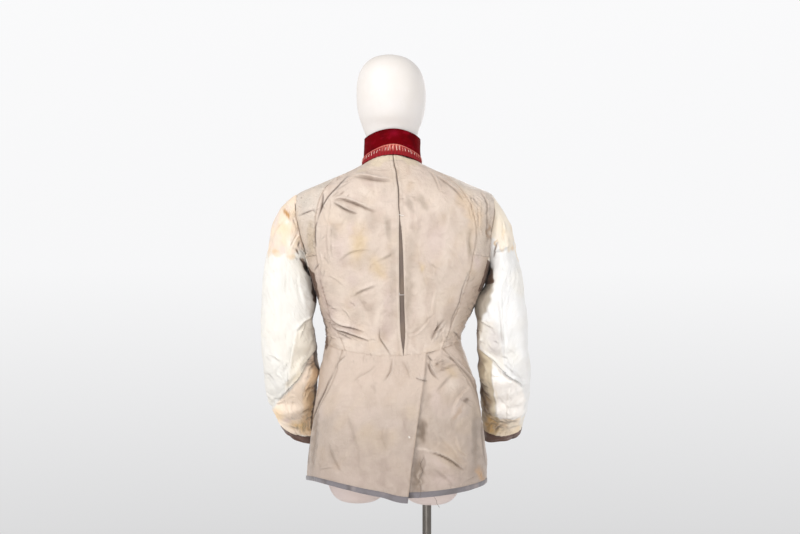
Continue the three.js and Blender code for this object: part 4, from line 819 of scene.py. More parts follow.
SLEEVE_PATCHES = [
    ("scar", 286.6, 213.4, 2.6, 8, -34, "scar", 1.0, 0.6),
    ("scar_grey", 290.4, 218.6, 1.6, 2.6, -30, "smudge", 0.55, 0.8),
    ("hole_1", 292.4, 232.7, 1.1, 1.4, 20, "line", 1.0, 0.4),
    ("hole_2", 296.4, 230.9, 0.8, 0.8, 0, "umber", 0.8, 0.5),
    ("slit_1", 298.6, 244, 0.9, 3, 18, "umber", 0.85, 0.6),
    ("slit_2", 297.2, 251.6, 0.9, 3.4, -32, "umber", 0.85, 0.6),
    ("slit_3", 301.7, 260, 1.2, 3.4, -38, "umber", 0.9, 0.6),
    ("peach_1", 284, 228, 7, 10, 25, "stain", 0.30, 1.0),
    ("peach_2", 275, 246, 8, 6, 0, "pink_sleeve", 0.6, 0.9),
    ("tide_left", 274.5, 251, 6.5, 2.4, 5, "stain", 0.55, 0.6),
    ("tide_left_2", 291, 256.5, 6, 4.5, 0, "stain", 0.55, 0.6),
    ("pale_middle", 290, 244, 7, 13, 15, "white", 0.6, 0.9),
    ("pale_top", 287, 222, 4, 3, 0, "white", 0.7, 0.9),
    ("peach_3", 300, 225, 5, 10, -10, "peach_sleeve", 0.5, 0.9),
    ("grey_mark", 275, 269.3, 2.4, 1.2, 10, "grey_sleeve", 0.6, 0.9),
    ("grey_mark_2", 281, 270.5, 1, 0.8, 0, "grey_sleeve", 0.4, 0.9),
    ("left_green", 262, 336, 4, 4, 0, "cream", 0.6, 0.9),
    ("left_yellow", 270, 402, 6, 8, -20, "cream", 0.9, 0.9),
    ("left_lilac", 276, 386, 5, 4, 0, "grey_sleeve", 0.18, 0.9),
    ("right_tide", 513.8, 248.5, 3, 3.6, -20, "stain", 0.5, 0.7),
    ("right_gold", 503, 232, 1.6, 10, 0, "stain", 0.35, 0.9),
    ("right_cap", 500, 226, 9, 16, 0, "low_sleeve", 0.6, 1.0),
    ("right_gold_2", 496.2, 244, 1.6, 6, 14, "gold", 0.7, 0.7),
    ("right_shade_1", 497, 336, 7, 22, -6, "grey_sleeve", 0.5, 0.9),
    ("right_cuff_gold", 490, 428, 5, 7, -10, "gold_sleeve", 0.9, 0.8),
    ("right_band_dark", 481, 384, 8, 13, -14, "shade_sleeve", 0.85, 0.9),
    ("right_band_olive", 482, 366, 5, 20, -8, "shade_sleeve", 0.8, 0.9),
    ("right_band_tan", 487, 404, 7, 13, -8, "brown_sleeve", 0.75, 0.8),
    ("right_band_gold", 490, 422, 7, 9, 0, "gold_sleeve", 0.8, 0.8),
    ("right_seam_cream", 496, 398, 2.4, 26, -3, "low_sleeve", 0.5, 0.9),
    # Painted shade on the right under-sleeve, beside its seam
    ("right_under_lilac_shade", 495, 342, 9, 24, -8, "lilac_sleeve_shade", 0.75, 0.8),
    ("right_cuff_orange", 500, 425, 14, 4.5, 4, "scar", 0.3, 0.9),
    ("right_cuff_line", 497, 427, 1.2, 5, 40, "scar", 0.6, 0.7),
    ("right_cuff_pale", 511, 424, 7, 4, -10, "low_sleeve", 0.6, 0.9),
    ("right_mark", 512.6, 374, 0.6, 0.6, 0, "line", 0.7, 0.5),
    ("left_cuff_gold", 300, 426, 14, 8, 10, "gold_sleeve", 0.8, 0.9),
    ("left_cuff_gold_2", 279, 414, 8, 10, -35, "gold_sleeve", 0.55, 0.9),
    ("left_cuff_pink", 287, 420, 7, 4, 20, "pink_sleeve", 0.6, 0.9),
    # Painted shade above the big fold of the left forearm
    ("left_fold_shade", 297, 376, 4, 15, 38, "band_sleeve_shade", 0.55, 0.9),
    ("left_inner_tan", 311, 404, 5, 20, 4, "gold_sleeve", 0.4, 1.0),
    ("left_inner_dark", 314.5, 366, 3.4, 12, 8, "scar", 0.6, 0.9),
]

# Areas with an outline: name, corners, softness in pixels, colour, strength
BODY_AREAS = [
    # Painted shade in the gaps between the sleeves and the body, where some outer wool shows too
    ("left_gap_wool_and_shade", [(302.5, 262), (309, 268), (314, 273), (318, 287), (320, 296), (317, 304),
     (310, 303), (308, 291), (307, 282), (304, 272)], 1.0, "wool", 0.95),
    ("left_gap_core_wool_and_shade", [(309, 287), (315, 290), (317.5, 297), (314.5, 301), (310.5, 296)], 1.6,
     "black_wool_and_shade", 0.8),
    ("right_gap_wool_and_shade", [(487.4, 258), (493, 270), (494.5, 283), (489, 285), (485, 288), (481, 293),
     (477.6, 291), (481.6, 280), (485, 269)], 0.9, "wool", 0.92),
]
SLEEVE_AREAS = [
    # Painted shade where the left sleeve turns in towards the body
    ("left_turned_shade", [(313, 314), (304, 321), (296, 334), (292, 356), (289, 376), (284, 390), (300, 378),
     (316, 349)], 2.4, "beige_sleeve_shade", 0.8),
    # The lower left sleeve's pale cream and tan, made lighter than the cotton: its own colour with painted
    # light
    ("left_low_area", [(318, 352), (311, 362), (301, 377), (291, 391), (279, 401), (271, 412),
     (278, 424), (290, 434), (312, 436), (320, 370)], 2.0, "rose_sleeve", 0.9),
    ("left_low_tan", [(319, 356), (312, 366), (306, 384), (303, 404), (300, 434), (314, 436),
     (321, 372)], 4.0, "tan_sleeve", 0.75),
    ("right_inner_shade", [(487, 262), (493, 268), (494, 286), (491, 300), (487, 312), (482, 318),
     (480, 330), (474, 322), (470, 312), (480, 285)], 2.6, "shade_sleeve", 0.8),
    # Painted shade lower on the right sleeve's inner side
    ("right_inner_shade_2", [(474, 314), (482, 318), (483, 328), (480, 340), (480, 356), (474, 350)],
     2.2, "shade_sleeve", 0.7),
    # Painted shade on the right under-sleeve, left of its back seam
    ("right_under_shade", [(476, 320), (494, 322), (501, 345), (505, 371), (494, 362), (480, 345)], 4.0,
     "beige_sleeve_shade", 0.5),
    # A band of painted shade along the right forearm's inner side
    ("right_inner_shade_band", [(474, 345), (484, 352), (491, 362), (493, 384), (494, 400), (496, 412),
     (500, 421), (497, 434), (482, 437), (474, 400)], 1.6, "band_sleeve_shade", 0.85),
    # Whiter than the cotton: painted light on the right forearm
    ("right_low_painted_light", [(494, 364), (508, 378), (520, 384), (526, 400), (519, 420), (500, 420),
     (494, 396)], 3.0, "bright_sleeve_painted_light", 0.95),
    ("right_low_band", [(487, 412), (500, 419), (519, 416), (520, 434), (498, 439), (486, 438)], 4.0,
     "gold_sleeve", 0.4),
]

# Dark edges: painted shade where the sleeves and the body's sides face each other, with some of the outer
# wool showing past the lining. places, half width mm, colour, strength
BODY_EDGES = [
    ([(312, 294), (317, 302), (320.8, 312), (324.2, 324), (326.4, 334), (326.4, 348)], 3.6, "wool",
     0.85),
    ([(489, 262), (487, 278), (481.6, 293.4), (476.3, 305), (472.3, 315)], 4.0, "black_wool_and_shade", 0.9),
]
SLEEVE_EDGES = [
    ([(304, 262), (309, 274), (311, 290), (312.5, 302), (313.5, 320), (315, 334), (316.8, 348),
     (317.6, 366), (319, 373), (317, 386), (314.5, 399), (313, 413), (311.5, 430)], 2.6, "wool", 0.9),
    ([(311, 296), (313, 306), (314, 322)], 5, "black_wool_and_shade", 0.6),
    ([(474, 312), (475, 326), (476.5, 346), (477.5, 360), (476.8, 374), (478, 386), (480.5, 396),
     (483, 408), (484.5, 422), (485.5, 434)], 9, "umber", 0.34),
    ([(474.4, 312), (475.4, 326), (476.8, 346), (477.8, 360), (477, 374), (478.4, 386), (480.6, 396)],
     3, "wool", 0.7),
]


# Groups of small creases: middle x and y, half width and height of the group, direction in degrees
# (0 to the right, 90 down) and its spread, how many, length in pixels, half width and height in mm, shade
BODY_SCATTER = [
    (341, 188, 9, 10, -32, 14, 9, 9, 3.4, 0.9, 0.16),
    (326, 232, 6, 34, 88, 8, 9, 14, 3.6, 0.8, 0.12),
    (341, 322, 15, 18, 34, 14, 12, 15, 4.2, 1.2, 0.14),
    (354, 342, 20, 5, 22, 14, 6, 9, 3.2, 0.8, 0.14),
    (439, 331, 10, 12, -48, 16, 10, 12, 4.0, 1.2, 0.12),
    (470, 300, 6, 26, -58, 26, 16, 6, 3.0, 1.0, 0.22),
    (477, 228, 10, 30, 84, 14, 12, 15, 4.0, 1.0, 0.12),
    (456, 196, 14, 9, 44, 12, 9, 10, 3.6, 0.9, 0.14),
    (320, 268, 6, 22, 74, 16, 8, 9, 3.4, 0.9, 0.16),
    (311, 232, 5, 24, 80, 24, 16, 6, 2.8, 0.8, 0.18),
    (491, 222, 4, 20, 84, 20, 9, 8, 3.0, 0.9, 0.20),
    (370, 232, 26, 40, 118, 26, 12, 24, 9.0, 1.2, 0.03),
    (436, 240, 26, 50, 70, 26, 12, 24, 9.0, 1.2, 0.03),
    (372, 300, 26, 34, 134, 24, 10, 22, 8.0, 1.1, 0.04),
    (424, 300, 18, 40, 60, 24, 8, 22, 8.0, 1.0, 0.03),
    (398, 182, 20, 18, 4, 14, 7, 12, 4.0, 0.8, 0.08),
    (366, 356, 30, 7, 84, 16, 10, 7, 3.2, 0.8, 0.10),
    (447, 366, 15, 10, -30, 18, 9, 10, 4.0, 1.2, 0.12),
    (462, 392, 12, 16, 52, 20, 6, 12, 5.0, 1.1, 0.08),
    (358, 430, 34, 44, 80, 26, 4, 26, 12.0, 0.8, 0.0),
    (446, 440, 22, 40, 70, 30, 6, 20, 8.0, 1.1, 0.03),
    (356, 490, 42, 4, 92, 10, 16, 6, 3.0, 0.7, 0.08),
    (452, 488, 28, 4, 88, 10, 11, 6, 3.0, 0.7, 0.08),
    (317, 430, 4, 44, 96, 8, 9, 14, 3.4, 0.8, 0.12),
    (481, 440, 4, 42, 86, 10, 10, 11, 3.2, 0.8, 0.14),
    (420, 476, 5, 22, 60, 40, 14, 4, 2.6, 0.9, 0.24),
]
SLEEVE_SCATTER = [
    (290, 224, 12, 22, 62, 40, 14, 8, 3.2, 0.9, 0.10),
    (297, 250, 8, 12, 40, 30, 10, 8, 3.0, 1.3, 0.16),
    (281, 300, 15, 34, 88, 9, 12, 22, 5.0, 0.9, 0.03),
    (303, 300, 7, 22, 80, 12, 7, 14, 4.4, 0.9, 0.08),
    (306, 340, 8, 16, 116, 20, 10, 10, 3.8, 1.3, 0.10),
    (297, 366, 15, 14, 132, 14, 14, 13, 4.2, 1.7, 0.12),
    (272, 372, 8, 22, 30, 26, 12, 9, 3.6, 1.0, 0.08),
    (283, 398, 12, 9, -30, 22, 10, 10, 4.0, 1.2, 0.06),
    (308, 388, 6, 18, 118, 22, 12, 9, 3.4, 1.4, 0.14),
    (300, 420, 12, 10, 84, 28, 16, 7, 2.8, 1.2, 0.14),
    (503, 230, 9, 22, 76, 26, 10, 10, 3.6, 0.9, 0.06),
    (510, 300, 9, 40, 86, 8, 12, 24, 5.0, 0.9, 0.03),
    (489, 300, 6, 22, 100, 12, 8, 12, 4.0, 1.1, 0.08),
    (489, 334, 9, 14, 40, 18, 10, 10, 3.8, 1.4, 0.10),
    (503, 366, 15, 12, 42, 14, 14, 13, 4.2, 1.6, 0.10),
    (484, 394, 6, 24, 58, 18, 14, 9, 3.2, 1.5, 0.18),
    (512, 396, 11, 18, 60, 30, 10, 12, 4.4, 1.0, 0.04),
    (503, 423, 15, 7, 10, 26, 18, 9, 2.8, 1.3, 0.14),
    (491, 427, 6, 7, 100, 26, 10, 6, 2.6, 1.2, 0.16),
]


def scattered(groups, seed):
    """Small creases near one another and alike, but no two the same."""
    rng = np.random.default_rng(seed)
    creases = []
    for x, y, half_x, half_y, way, spread, count, length, width, height, shade in groups:
        for _ in range(count):
            place = np.array([x, y]) + rng.uniform(-1, 1, 2) * (half_x, half_y)
            turn = math.radians(way + rng.normal() * spread)
            run = length * rng.uniform(0.5, 1.3)
            along = np.array([math.cos(turn), math.sin(turn)])
            aside = np.array([-along[1], along[0]]) * run * rng.uniform(-0.16, 0.16)
            places = [place - along * run / 2, place + aside, place + along * run / 2]
            size = rng.uniform(0.6, 1.3)
            kind = "step" if rng.random() < 0.7 else "trough"
            dark = shade * rng.uniform(0.3, 1.3)
            creases.append(("small", places, width * size, height * size, kind, dark))
    return creases


def mark_weight(cloth):
    """1 where the camera sees the cloth, 0 on the far side of it."""
    return smooth((0.35 - cloth.normal[..., 1]) / 0.4)


# Heights of a crease across its line, from -1 to 1. A step is at most 1 high, by its factor
CREASE_KINDS = {
    "trough": lambda q: -(1 - q * q) ** 2,
    "ridge": lambda q: (1 - q * q) ** 2,
    "step": lambda q: 4.07 * np.sign(q) * np.abs(q) ** 0.6 * (1 - np.abs(q)) ** 2,
}


def add_creases(cloth, creases, flip=False):
    """Raises the cloth by creases, paints shade along their lines and a highlight beside them."""
    spots = cloth.spots(flip)
    weight = smooth((cloth.normal[..., 1] + 0.1) / 0.4) if flip else mark_weight(cloth)
    for _, places, width, height, kind, shade in creases:
        line = drawn(places)
        reach = width / PIXEL + 1
        near = np.all((spots > line.min(0) - reach) & (spots < line.max(0) + reach), axis=-1) & (weight > 0)
        if not near.any():
            continue
        off, share = from_line(spots[near], line)
        ends = np.sin(math.pi * np.clip(share, 0.001, 0.999)) ** 0.55
        ends = ends * weight[near] * ((share > 0) & (share < 1))
        q = np.clip(off * PIXEL / width, -1, 1)
        cloth.rise[near] += height * CREASE_KINDS[kind](q) * ends
        # painted shade in each crease's hollow and a painted highlight beside it
        if shade:
            foot = np.clip((q + (0.22 if kind == "step" else 0)) * width / (2.4 + 0.16 * width), -1, 1)
            wide = clamp01(-q if kind == "step" else 1 - np.abs(q)) * (1 - np.abs(q)) * 2
            dark = np.zeros(weight.shape)
            dark[near] = shade * ((1 - foot ** 2) ** 2 + 0.35 * wide) * ends
            cloth.mix("line", dark)
            lit = np.clip((q - 0.42) * width / 3.2, -1, 1)
            light = np.zeros(weight.shape)
            light[near] = 0.22 * shade * (1 - lit ** 2) ** 2 * ends
            cloth.mix("white", light)


def add_patches(cloth, patches):
    spots = warped(cloth.spots(), 9, 3, 1.1)
    weight = mark_weight(cloth)
    for _, x, y, half_x, half_y, tilt, colour, strength, softness in patches:
        turn = math.radians(tilt)
        dx, dy = spots[..., 0] - x, spots[..., 1] - y
        u = (dx * math.cos(turn) + dy * math.sin(turn)) / half_x
        v = (-dx * math.sin(turn) + dy * math.cos(turn)) / half_y
        inside = smooth((1 - np.hypot(u, v)) / softness)
        cloth.mix(colour, strength * inside * weight)


def add_areas(cloth, areas):
    spots = warped(cloth.spots(), 7, 5, 0.45)
    weight = mark_weight(cloth)
    for _, corners, softness, colour, strength in areas:
        inside = smooth(in_polygon(spots, corners) / softness + 0.5)
        cloth.mix(colour, strength * inside * weight)


def add_edges(cloth, edges):
    spots = cloth.spots()
    weight = smooth((0.8 - cloth.normal[..., 1]) / 0.5)
    # Painted shade along each line, with some of the outer wool where it shows
    for places, width, colour, strength in edges:
        off, _ = from_line(spots, drawn(places))
        near = smooth(1.4 - np.abs(off) * PIXEL / width)
        cloth.mix(colour, strength * near * weight)


# ---- cloth ----------------------------------------------------------------------------------

class Cloth:
    """A grid of points on a smooth form, its first side along the seam line, with what is added."""

    def __init__(self, base, normal):
        self.base = base
        self.normal = normal
        self.rise = np.zeros(base.shape[:2])
        self.tint = np.ones(base.shape)
        none = np.zeros((1, base.shape[1]))
        steps = np.linalg.norm(np.diff(base, axis=0), axis=-1)
        self.u = np.concatenate([none, np.cumsum(steps, axis=0)])
        none = np.zeros((base.shape[0], 1))
        steps = np.linalg.norm(np.diff(base, axis=1), axis=-1)
        self.v = np.concatenate([none, np.cumsum(steps, axis=1)], axis=1)

    def spots(self, flip=False):
        return seen(self.base * np.array([1, -1, 1]) if flip else self.base)

    def paint(self, colour):
        self.tint = np.broadcast_to(tone(colour), self.base.shape).copy()

    def mix(self, colour, amount):
        amount = clamp01(amount)[..., None]
        self.tint = self.tint * (1 - amount) + tone(colour) * amount

    def mottle(self, colour, much, size, seed):
        """A colour in soft clouds that are about size apart."""
        self.mix(colour, much * clamp01(wander(self.base, size, seed)))

    def points(self):
        return self.base + self.normal * self.rise[..., None]

    def cut(self):
        """Width, length and area in metres of the piece laid flat."""
        width = float(self.u[-1].max()) * MM
        length = float(self.v[:, -1].max()) * MM
        cell = np.diff(self.u, axis=0)[:, 1:] * np.diff(self.v, axis=1)[1:]
        return width, length, float(cell.sum()) * MM * MM


def seam(cloth, edge, groove, pucker, colour, seed, reach):
    """Rolls an edge in, and draws the cloth into small puckers along it."""
    u, v = cloth.u, cloth.v
    far_u, far_v = u[-1:] - u, v[:, -1:] - v
    off, along = {"inner": (u, v), "outer": (far_u, v), "low": (v, u), "high": (far_v, u)}[edge]
    cloth.rise -= groove * bell(off, 1.9)
    cloth.rise += 0.3 * groove * bell(off - 4.2, 2.2)
    line = np.stack([along, off * 0.25], -1)
    wave = np.cos(2 * math.pi * along / 11 + 2.6 * wander(line, 55, seed))
    uneven = clamp01(0.55 + 0.6 * wander(line, 70, seed + 1))
    cloth.rise += pucker * wave * uneven * np.exp(-(off / reach))
    if colour:
        cloth.mix(colour, 0.4 * bell(off, 2.2))


# Seams of each piece: edge, groove mm, pucker mm, colour, seed, how far the puckers reach in mm
SEAMS = {
    "back": [("inner", 0.9, 0.25, "back_grey", 30, 7), ("outer", 1.5, 0.9, "brown", 40, 12),
             ("low", 0.7, 0.5, None, 50, 9), ("high", 0.8, 0.4, None, 60, 9)],
    "shoulder": [("inner", 1.3, 0.8, "brown", 70, 11), ("outer", 0.4, 0.6, None, 80, 8),
                 ("low", 0.6, 0.3, None, 90, 9)],
    "side": [("inner", 1.1, 0.8, "brown", 100, 12), ("outer", 0.9, 0.5, None, 110, 9),
             ("low", 0.9, 0.5, None, 120, 9)],
    "front": [("inner", 1.0, 0.6, "brown", 140, 9), ("low", 1.0, 0.6, "brown", 140, 9),
              ("high", 1.0, 0.6, "brown", 140, 9), ("outer", 0.5, 0.2, None, 150, 9)],
    "skirt_back": [("high", 0.7, 0.5, None, 170, 9), ("outer", 0.9, 0.35, "brown", 180, 8),
                   ("low", 0.3, 0.35, None, 190, 12)],
    "skirt_front": [("high", 0.9, 0.5, "brown", 200, 9), ("inner", 1.4, 0.5, "line", 210, 8),
                    ("low", 0.3, 0.4, None, 220, 14)],
    "hem": [("high", 0.4, 0.35, "hem_dark", 162, 4)],
    "sleeve": [("inner", 0.8, 0.4, None, 320, 7), ("outer", 0.8, 0.4, None, 330, 7),
               ("low", 0.5, 0.6, "peach_sleeve", 340, 10), ("high", 0.2, 0.9, "cream", 350, 12)],
}


def sew(cloth, kind, side):
    for edge, groove, pucker, colour, seed, reach in SEAMS[kind]:
        seam(cloth, edge, groove, pucker, colour, seed + side, reach)


def make_mesh(name, points, faces, uv=None, tint=None, sharp=45):
    mesh = bpy.data.meshes.new(name)
    mesh.from_pydata((points * MM).tolist(), [], faces)
    mesh.update()
    loops = np.zeros(len(mesh.loops), np.int32)
    mesh.loops.foreach_get("vertex_index", loops)
    if uv is not None:
        layer = mesh.uv_layers.new(name="cut")
        layer.data.foreach_set("uv", (uv[loops] * MM).astype(np.float32).ravel())
    if tint is not None:
        attribute = mesh.attributes.new("tint", "FLOAT_COLOR", "POINT")
        colours = np.concatenate([tint, np.ones((len(tint), 1))], 1)
        attribute.data.foreach_set("color", colours.astype(np.float32).ravel())
    mesh.shade_smooth()
    mesh.set_sharp_from_angle(angle=math.radians(sharp))
    piece = bpy.data.objects.new(name, mesh)
    bpy.context.collection.objects.link(piece)
    return piece


def shell(name, cloth, thickness, loop=False, roll=0):
    """A closed thin wall from a cloth grid. roll is how many rows round its last edge off."""
    outer = cloth.points()
    inner = outer - cloth.normal * thickness
    rows = [outer]
    if roll:
        up = outer[:, -1] - outer[:, -2]
        up /= np.linalg.norm(up, axis=-1, keepdims=True)
        middle = (outer[:, -1] + inner[:, -1]) / 2
        for k in range(1, roll + 1):
            turn = math.pi * k / (roll + 1)
            place = (cloth.normal[:, -1] * math.cos(turn) + up * math.sin(turn)) * thickness / 2
            rows.append((middle + place)[:, None])
    rows.append(inner[:, ::-1])
    grid = np.concatenate(rows, axis=1)
    wide, ring = grid.shape[:2]
    high = outer.shape[1]
    index = np.arange(wide * ring).reshape(wide, ring)
    right = np.roll(index, -1, axis=0)
    up_one = np.roll(index, -1, axis=1)
    both = np.roll(right, -1, axis=1)
    quads = np.stack([index, right, both, up_one], -1)
    if not loop:
        quads = quads[:-1]
    faces = quads.reshape(-1, 4).tolist()
    if not loop:
        for i, turned in ((0, False), (wide - 1, True)):
            for j in range(high - 1):
                side = [index[i, j], index[i, j + 1], index[i, ring - 2 - j], index[i, ring - 1 - j]]
                faces.append([int(k) for k in (side[::-1] if turned else side)])
            if roll:
                cap = index[i, high - 1:high + roll + 1]
                faces.append([int(k) for k in (cap[::-1] if turned else cap)])
    along = (outer[1:, 1:] - outer[:-1, :-1]).reshape(-1, 3)
    across = (outer[:-1, 1:] - outer[1:, :-1]).reshape(-1, 3)
    facing = np.cross(along, across) * cloth.normal[:-1, :-1].reshape(-1, 3)
    if facing.sum() > 0:
        faces = [face[::-1] for face in faces]
    uv = np.stack([cloth.u, cloth.v], -1)
    uv = np.concatenate([uv] + [uv[:, -1:]] * roll + [uv[:, ::-1]], axis=1)
    tint = cloth.tint
    tint = np.concatenate([tint] + [tint[:, -1:]] * roll + [tint[:, ::-1]], axis=1)
    return make_mesh(name, grid.reshape(-1, 3), faces, uv.reshape(-1, 2), tint.reshape(-1, 3))


def dress(piece, node, material):
    """Attaches a piece to the root, hides the solid that it stands in for, and gives it its material."""
    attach(piece, "root")
    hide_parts(node)
    piece.data.materials.append(material)
    return piece


def sheet(cloth):
    width, length, area = cloth.cut()


def cloth_piece(name, cloth, slot, thickness=CLOTH, node=None):
    """Makes a cloth's piece in place of its solid, which has the same name if no node is given."""
    piece = dress(shell(f"cloth_{name}", cloth, thickness), node or name, MATERIALS[slot])
    sheet(cloth)
    return piece


# ---- materials ------------------------------------------------------------------------------

class Shader:
    """A material with a Principled shader, and short calls for its nodes."""

    def __init__(self, name, **values):
        self.material = bpy.data.materials.new(name)
        self.material.use_nodes = True
        self.tree = self.material.node_tree
        self.main = self.tree.nodes["Principled BSDF"]
        for key, value in values.items():
            self.main.inputs[key.replace("_", " ")].default_value = value

    def node(self, kind, settings=None, **inputs):
        node = self.tree.nodes.new(kind)
        for key, value in (settings or {}).items():
            setattr(node, key, value)
        for key, value in inputs.items():
            numbered = key[0] == "i" and key[1:].isdigit()
            self.put(node.inputs[int(key[1:]) if numbered else key.replace("_", " ")], value)
        return node

    def put(self, socket, value):
        if isinstance(value, bpy.types.NodeSocket):
            self.tree.links.new(value, socket)
        else:
            socket.default_value = value

    def coords(self, scale, source="UV"):
        out = self.node("ShaderNodeTexCoord").outputs[source]
        return self.node("ShaderNodeMapping", Vector=out, Scale=scale).outputs["Vector"]

    def noise(self, coords, scale, detail=2, rough=0.5):
        return self.node("ShaderNodeTexNoise", Vector=coords, Scale=scale, Detail=detail,
                         Roughness=rough).outputs["Fac"]

    def band(self, coords, scale, way, distort=0.0):
        settings = dict(wave_type="BANDS", bands_direction=way, wave_profile="SIN")
        return self.node("ShaderNodeTexWave", settings, Vector=coords, Scale=scale,
                         Distortion=distort).outputs["Fac"]

    def span(self, value, low, high, to_low, to_high):
        return self.node("ShaderNodeMapRange", Value=value, From_Min=low, From_Max=high, To_Min=to_low,
                         To_Max=to_high).outputs["Result"]

    def math(self, operation, a, b):
        return self.node("ShaderNodeMath", dict(operation=operation), i0=a, i1=b).outputs[0]

    def mixed(self, kind, amount, a, b):
        node = self.node("ShaderNodeMix", dict(data_type="RGBA", blend_type=kind), i0=amount)
        self.put(node.inputs[6], a)
        self.put(node.inputs[7], b)
        return node.outputs[2]

    def varied(self, amount, colour, value, lows, highs):
        """A colour times red, green and blue that go from lows to highs with a noise value."""
        channels = [self.span(value, 0.3, 0.7, low, high) for low, high in zip(lows, highs)]
        named = dict(zip(("Red", "Green", "Blue"), channels))
        return self.mixed("MULTIPLY", amount, colour, self.node("ShaderNodeCombineColor", **named).outputs[0])

    def tint(self):
        return self.node("ShaderNodeAttribute", dict(attribute_name="tint")).outputs["Color"]

    def bump(self, layers):
        """layers are (height, depth in metres), added one on another."""
        normal = None
        for height, depth in layers:
            node = self.node("ShaderNodeBump", Height=height, Distance=depth, Strength=1.0)
            if normal is not None:
                self.put(node.inputs["Normal"], normal)
            normal = node.outputs["Normal"]
        self.put(self.main.inputs["Normal"], normal)

    def finish(self, colour, rough=None, layers=()):
        """Plugs in a colour, a roughness and bumps, and gives the material."""
        self.put(self.main.inputs["Base Color"], colour)
        if rough is not None:
            self.put(self.main.inputs["Roughness"], rough)
        if layers:
            self.bump(layers)
        return self.material


def wave_scale(period):
    """The Wave texture's scale for bands this many metres apart."""
    return 2 * math.pi / (20 * period)


def lining(name, rough=0.34, mottle=0.04):
    """Old glazed silk: a fine rib, long slubs, soft crinkles and a dull satin gloss."""
    s = Shader(name, Specular_IOR_Level=0.42, Sheen_Weight=0.12, Sheen_Roughness=0.45,
               Sheen_Tint=(1, 0.95, 0.9, 1))
    plain = s.coords((1, 1, 1))
    slub = s.noise(s.coords((1, 0.12, 1)), 700, 1)
    cloud = s.noise(plain, 26, 3, 0.5)
    crisp = s.noise(plain, 48, 5, 0.62)
    lows = (1 - mottle, 1 - mottle * 1.15, 1 - mottle * 1.4)
    highs = (1 + mottle * 0.6, 1 + mottle * 0.6, 1 + mottle * 0.5)
    colour = s.varied(1.0, s.tint(), cloud, lows, highs)
    colour = s.varied(0.35, colour, slub, (0.93, 0.93, 0.92), (1.05, 1.05, 1.05))
    warp = s.band(plain, wave_scale(0.00055), "X", 0.3)
    weft = s.band(plain, wave_scale(0.0004), "Y", 0.3)
    return s.finish(colour, s.span(cloud, 0.3, 0.7, rough - 0.06, rough + 0.09),
                    [(crisp, 0.0042), (s.math("ADD", warp, weft), 0.00005)])


def cotton(name):
    """Plain sleeve cotton: a loose weave, soft creases, matt with a little glaze left."""
    s = Shader(name, Specular_IOR_Level=0.35, Sheen_Weight=0.1, Sheen_Roughness=0.5)
    plain = s.coords((1, 1, 1))
    cloud = s.noise(plain, 30, 4, 0.6)
    thread = s.noise(s.coords((0.1, 1, 1)), 1300, 2)
    colour = s.varied(0.6, s.tint(), cloud, (0.985, 0.965, 0.93), (1.01, 1.01, 1.01))
    warp = s.band(plain, wave_scale(0.0007), "X", 0.4)
    weft = s.band(plain, wave_scale(0.0007), "Y", 0.4)
    crinkle = s.noise(plain, 70, 4, 0.6)
    return s.finish(colour, s.span(thread, 0.3, 0.7, 0.55, 0.68),
                    [(crinkle, 0.0028), (thread, 0.00025), (s.math("MULTIPLY", warp, weft), 0.00012)])


def wool(name, nap=0.0004, rough=0.92, sheen=0.35):
    """Milled wool: a short felted nap over a twill."""
    s = Shader(name, Roughness=rough, Specular_IOR_Level=0.2, Sheen_Weight=sheen, Sheen_Roughness=0.6)
    plain = s.coords((1, 1, 1))
    felt = s.noise(plain, 900, 4, 0.7)
    lumps = s.noise(plain, 160, 3)
    colour = s.varied(1.0, s.tint(), felt, (0.78, 0.78, 0.78), (1.16, 1.15, 1.14))
    twill = s.band(plain, wave_scale(0.0011), "DIAGONAL", 1.2)
    return s.finish(colour, None, [(lumps, 0.0006), (felt, nap), (twill, 0.00008)])


def velvet(name):
    """Wool velvet: dark where seen straight on, pink where the pile catches the light."""
    s = Shader(name, Roughness=0.7, Specular_IOR_Level=0.03, Sheen_Weight=0.02, Sheen_Roughness=0.3,
               Sheen_Tint=(1.0, 0.16, 0.26, 1))
    plain = s.coords((1, 1, 1))
    pile = s.noise(plain, 1500, 2)
    brushed = s.noise(s.coords((0.6, 1, 1)), 60, 4, 0.6)
    worn = s.span(brushed, 0.55, 0.75, 0, 1)
    colour = s.mixed("MIX", s.math("MULTIPLY", worn, 0.35), s.tint(), rgba("velvet_worn"))
    colour = s.varied(1.0, colour, pile, (0.85, 0.8, 0.8), (1.12, 1.1, 1.1))
    return s.finish(colour, None, [(brushed, 0.0008), (pile, 0.0005)])


def painted(name, colour, rough=0.5):
    """The form's smooth paint, with a faint brushed unevenness and scuffs."""
    s = Shader(name, Specular_IOR_Level=0.4)
    place = s.coords((1, 1, 1), "Object")
    cloud = s.noise(place, 9, 4, 0.6)
    speck = s.noise(place, 240, 2)
    darker = (*(tone(colour) * np.array([0.96, 0.94, 0.90])), 1)
    uneven = s.mixed("MIX", s.span(cloud, 0.35, 0.7, 0, 1), rgba(colour), darker)
    return s.finish(uneven, s.span(speck, 0.3, 0.7, rough - 0.05, rough + 0.08),
                    [(cloud, 0.0015), (speck, 0.00004)])


def brushed_steel(name):
    s = Shader(name, Metallic=0.9, Specular_IOR_Level=0.5)
    place = s.coords((1, 1, 0.04), "Object")
    grain = s.noise(place, 900, 2)
    haze = s.noise(s.coords((1, 1, 1), "Object"), 14, 3)
    colour = s.mixed("MIX", s.span(haze, 0.35, 0.7, 0, 1), rgba("steel"), rgba("steel_dark"))
    return s.finish(colour, s.span(grain, 0.3, 0.7, 0.3, 0.46), [(grain, 0.00002)])


def plain_stage(name, colour):
    return Shader(name, Roughness=0.9).finish(rgba(colour))


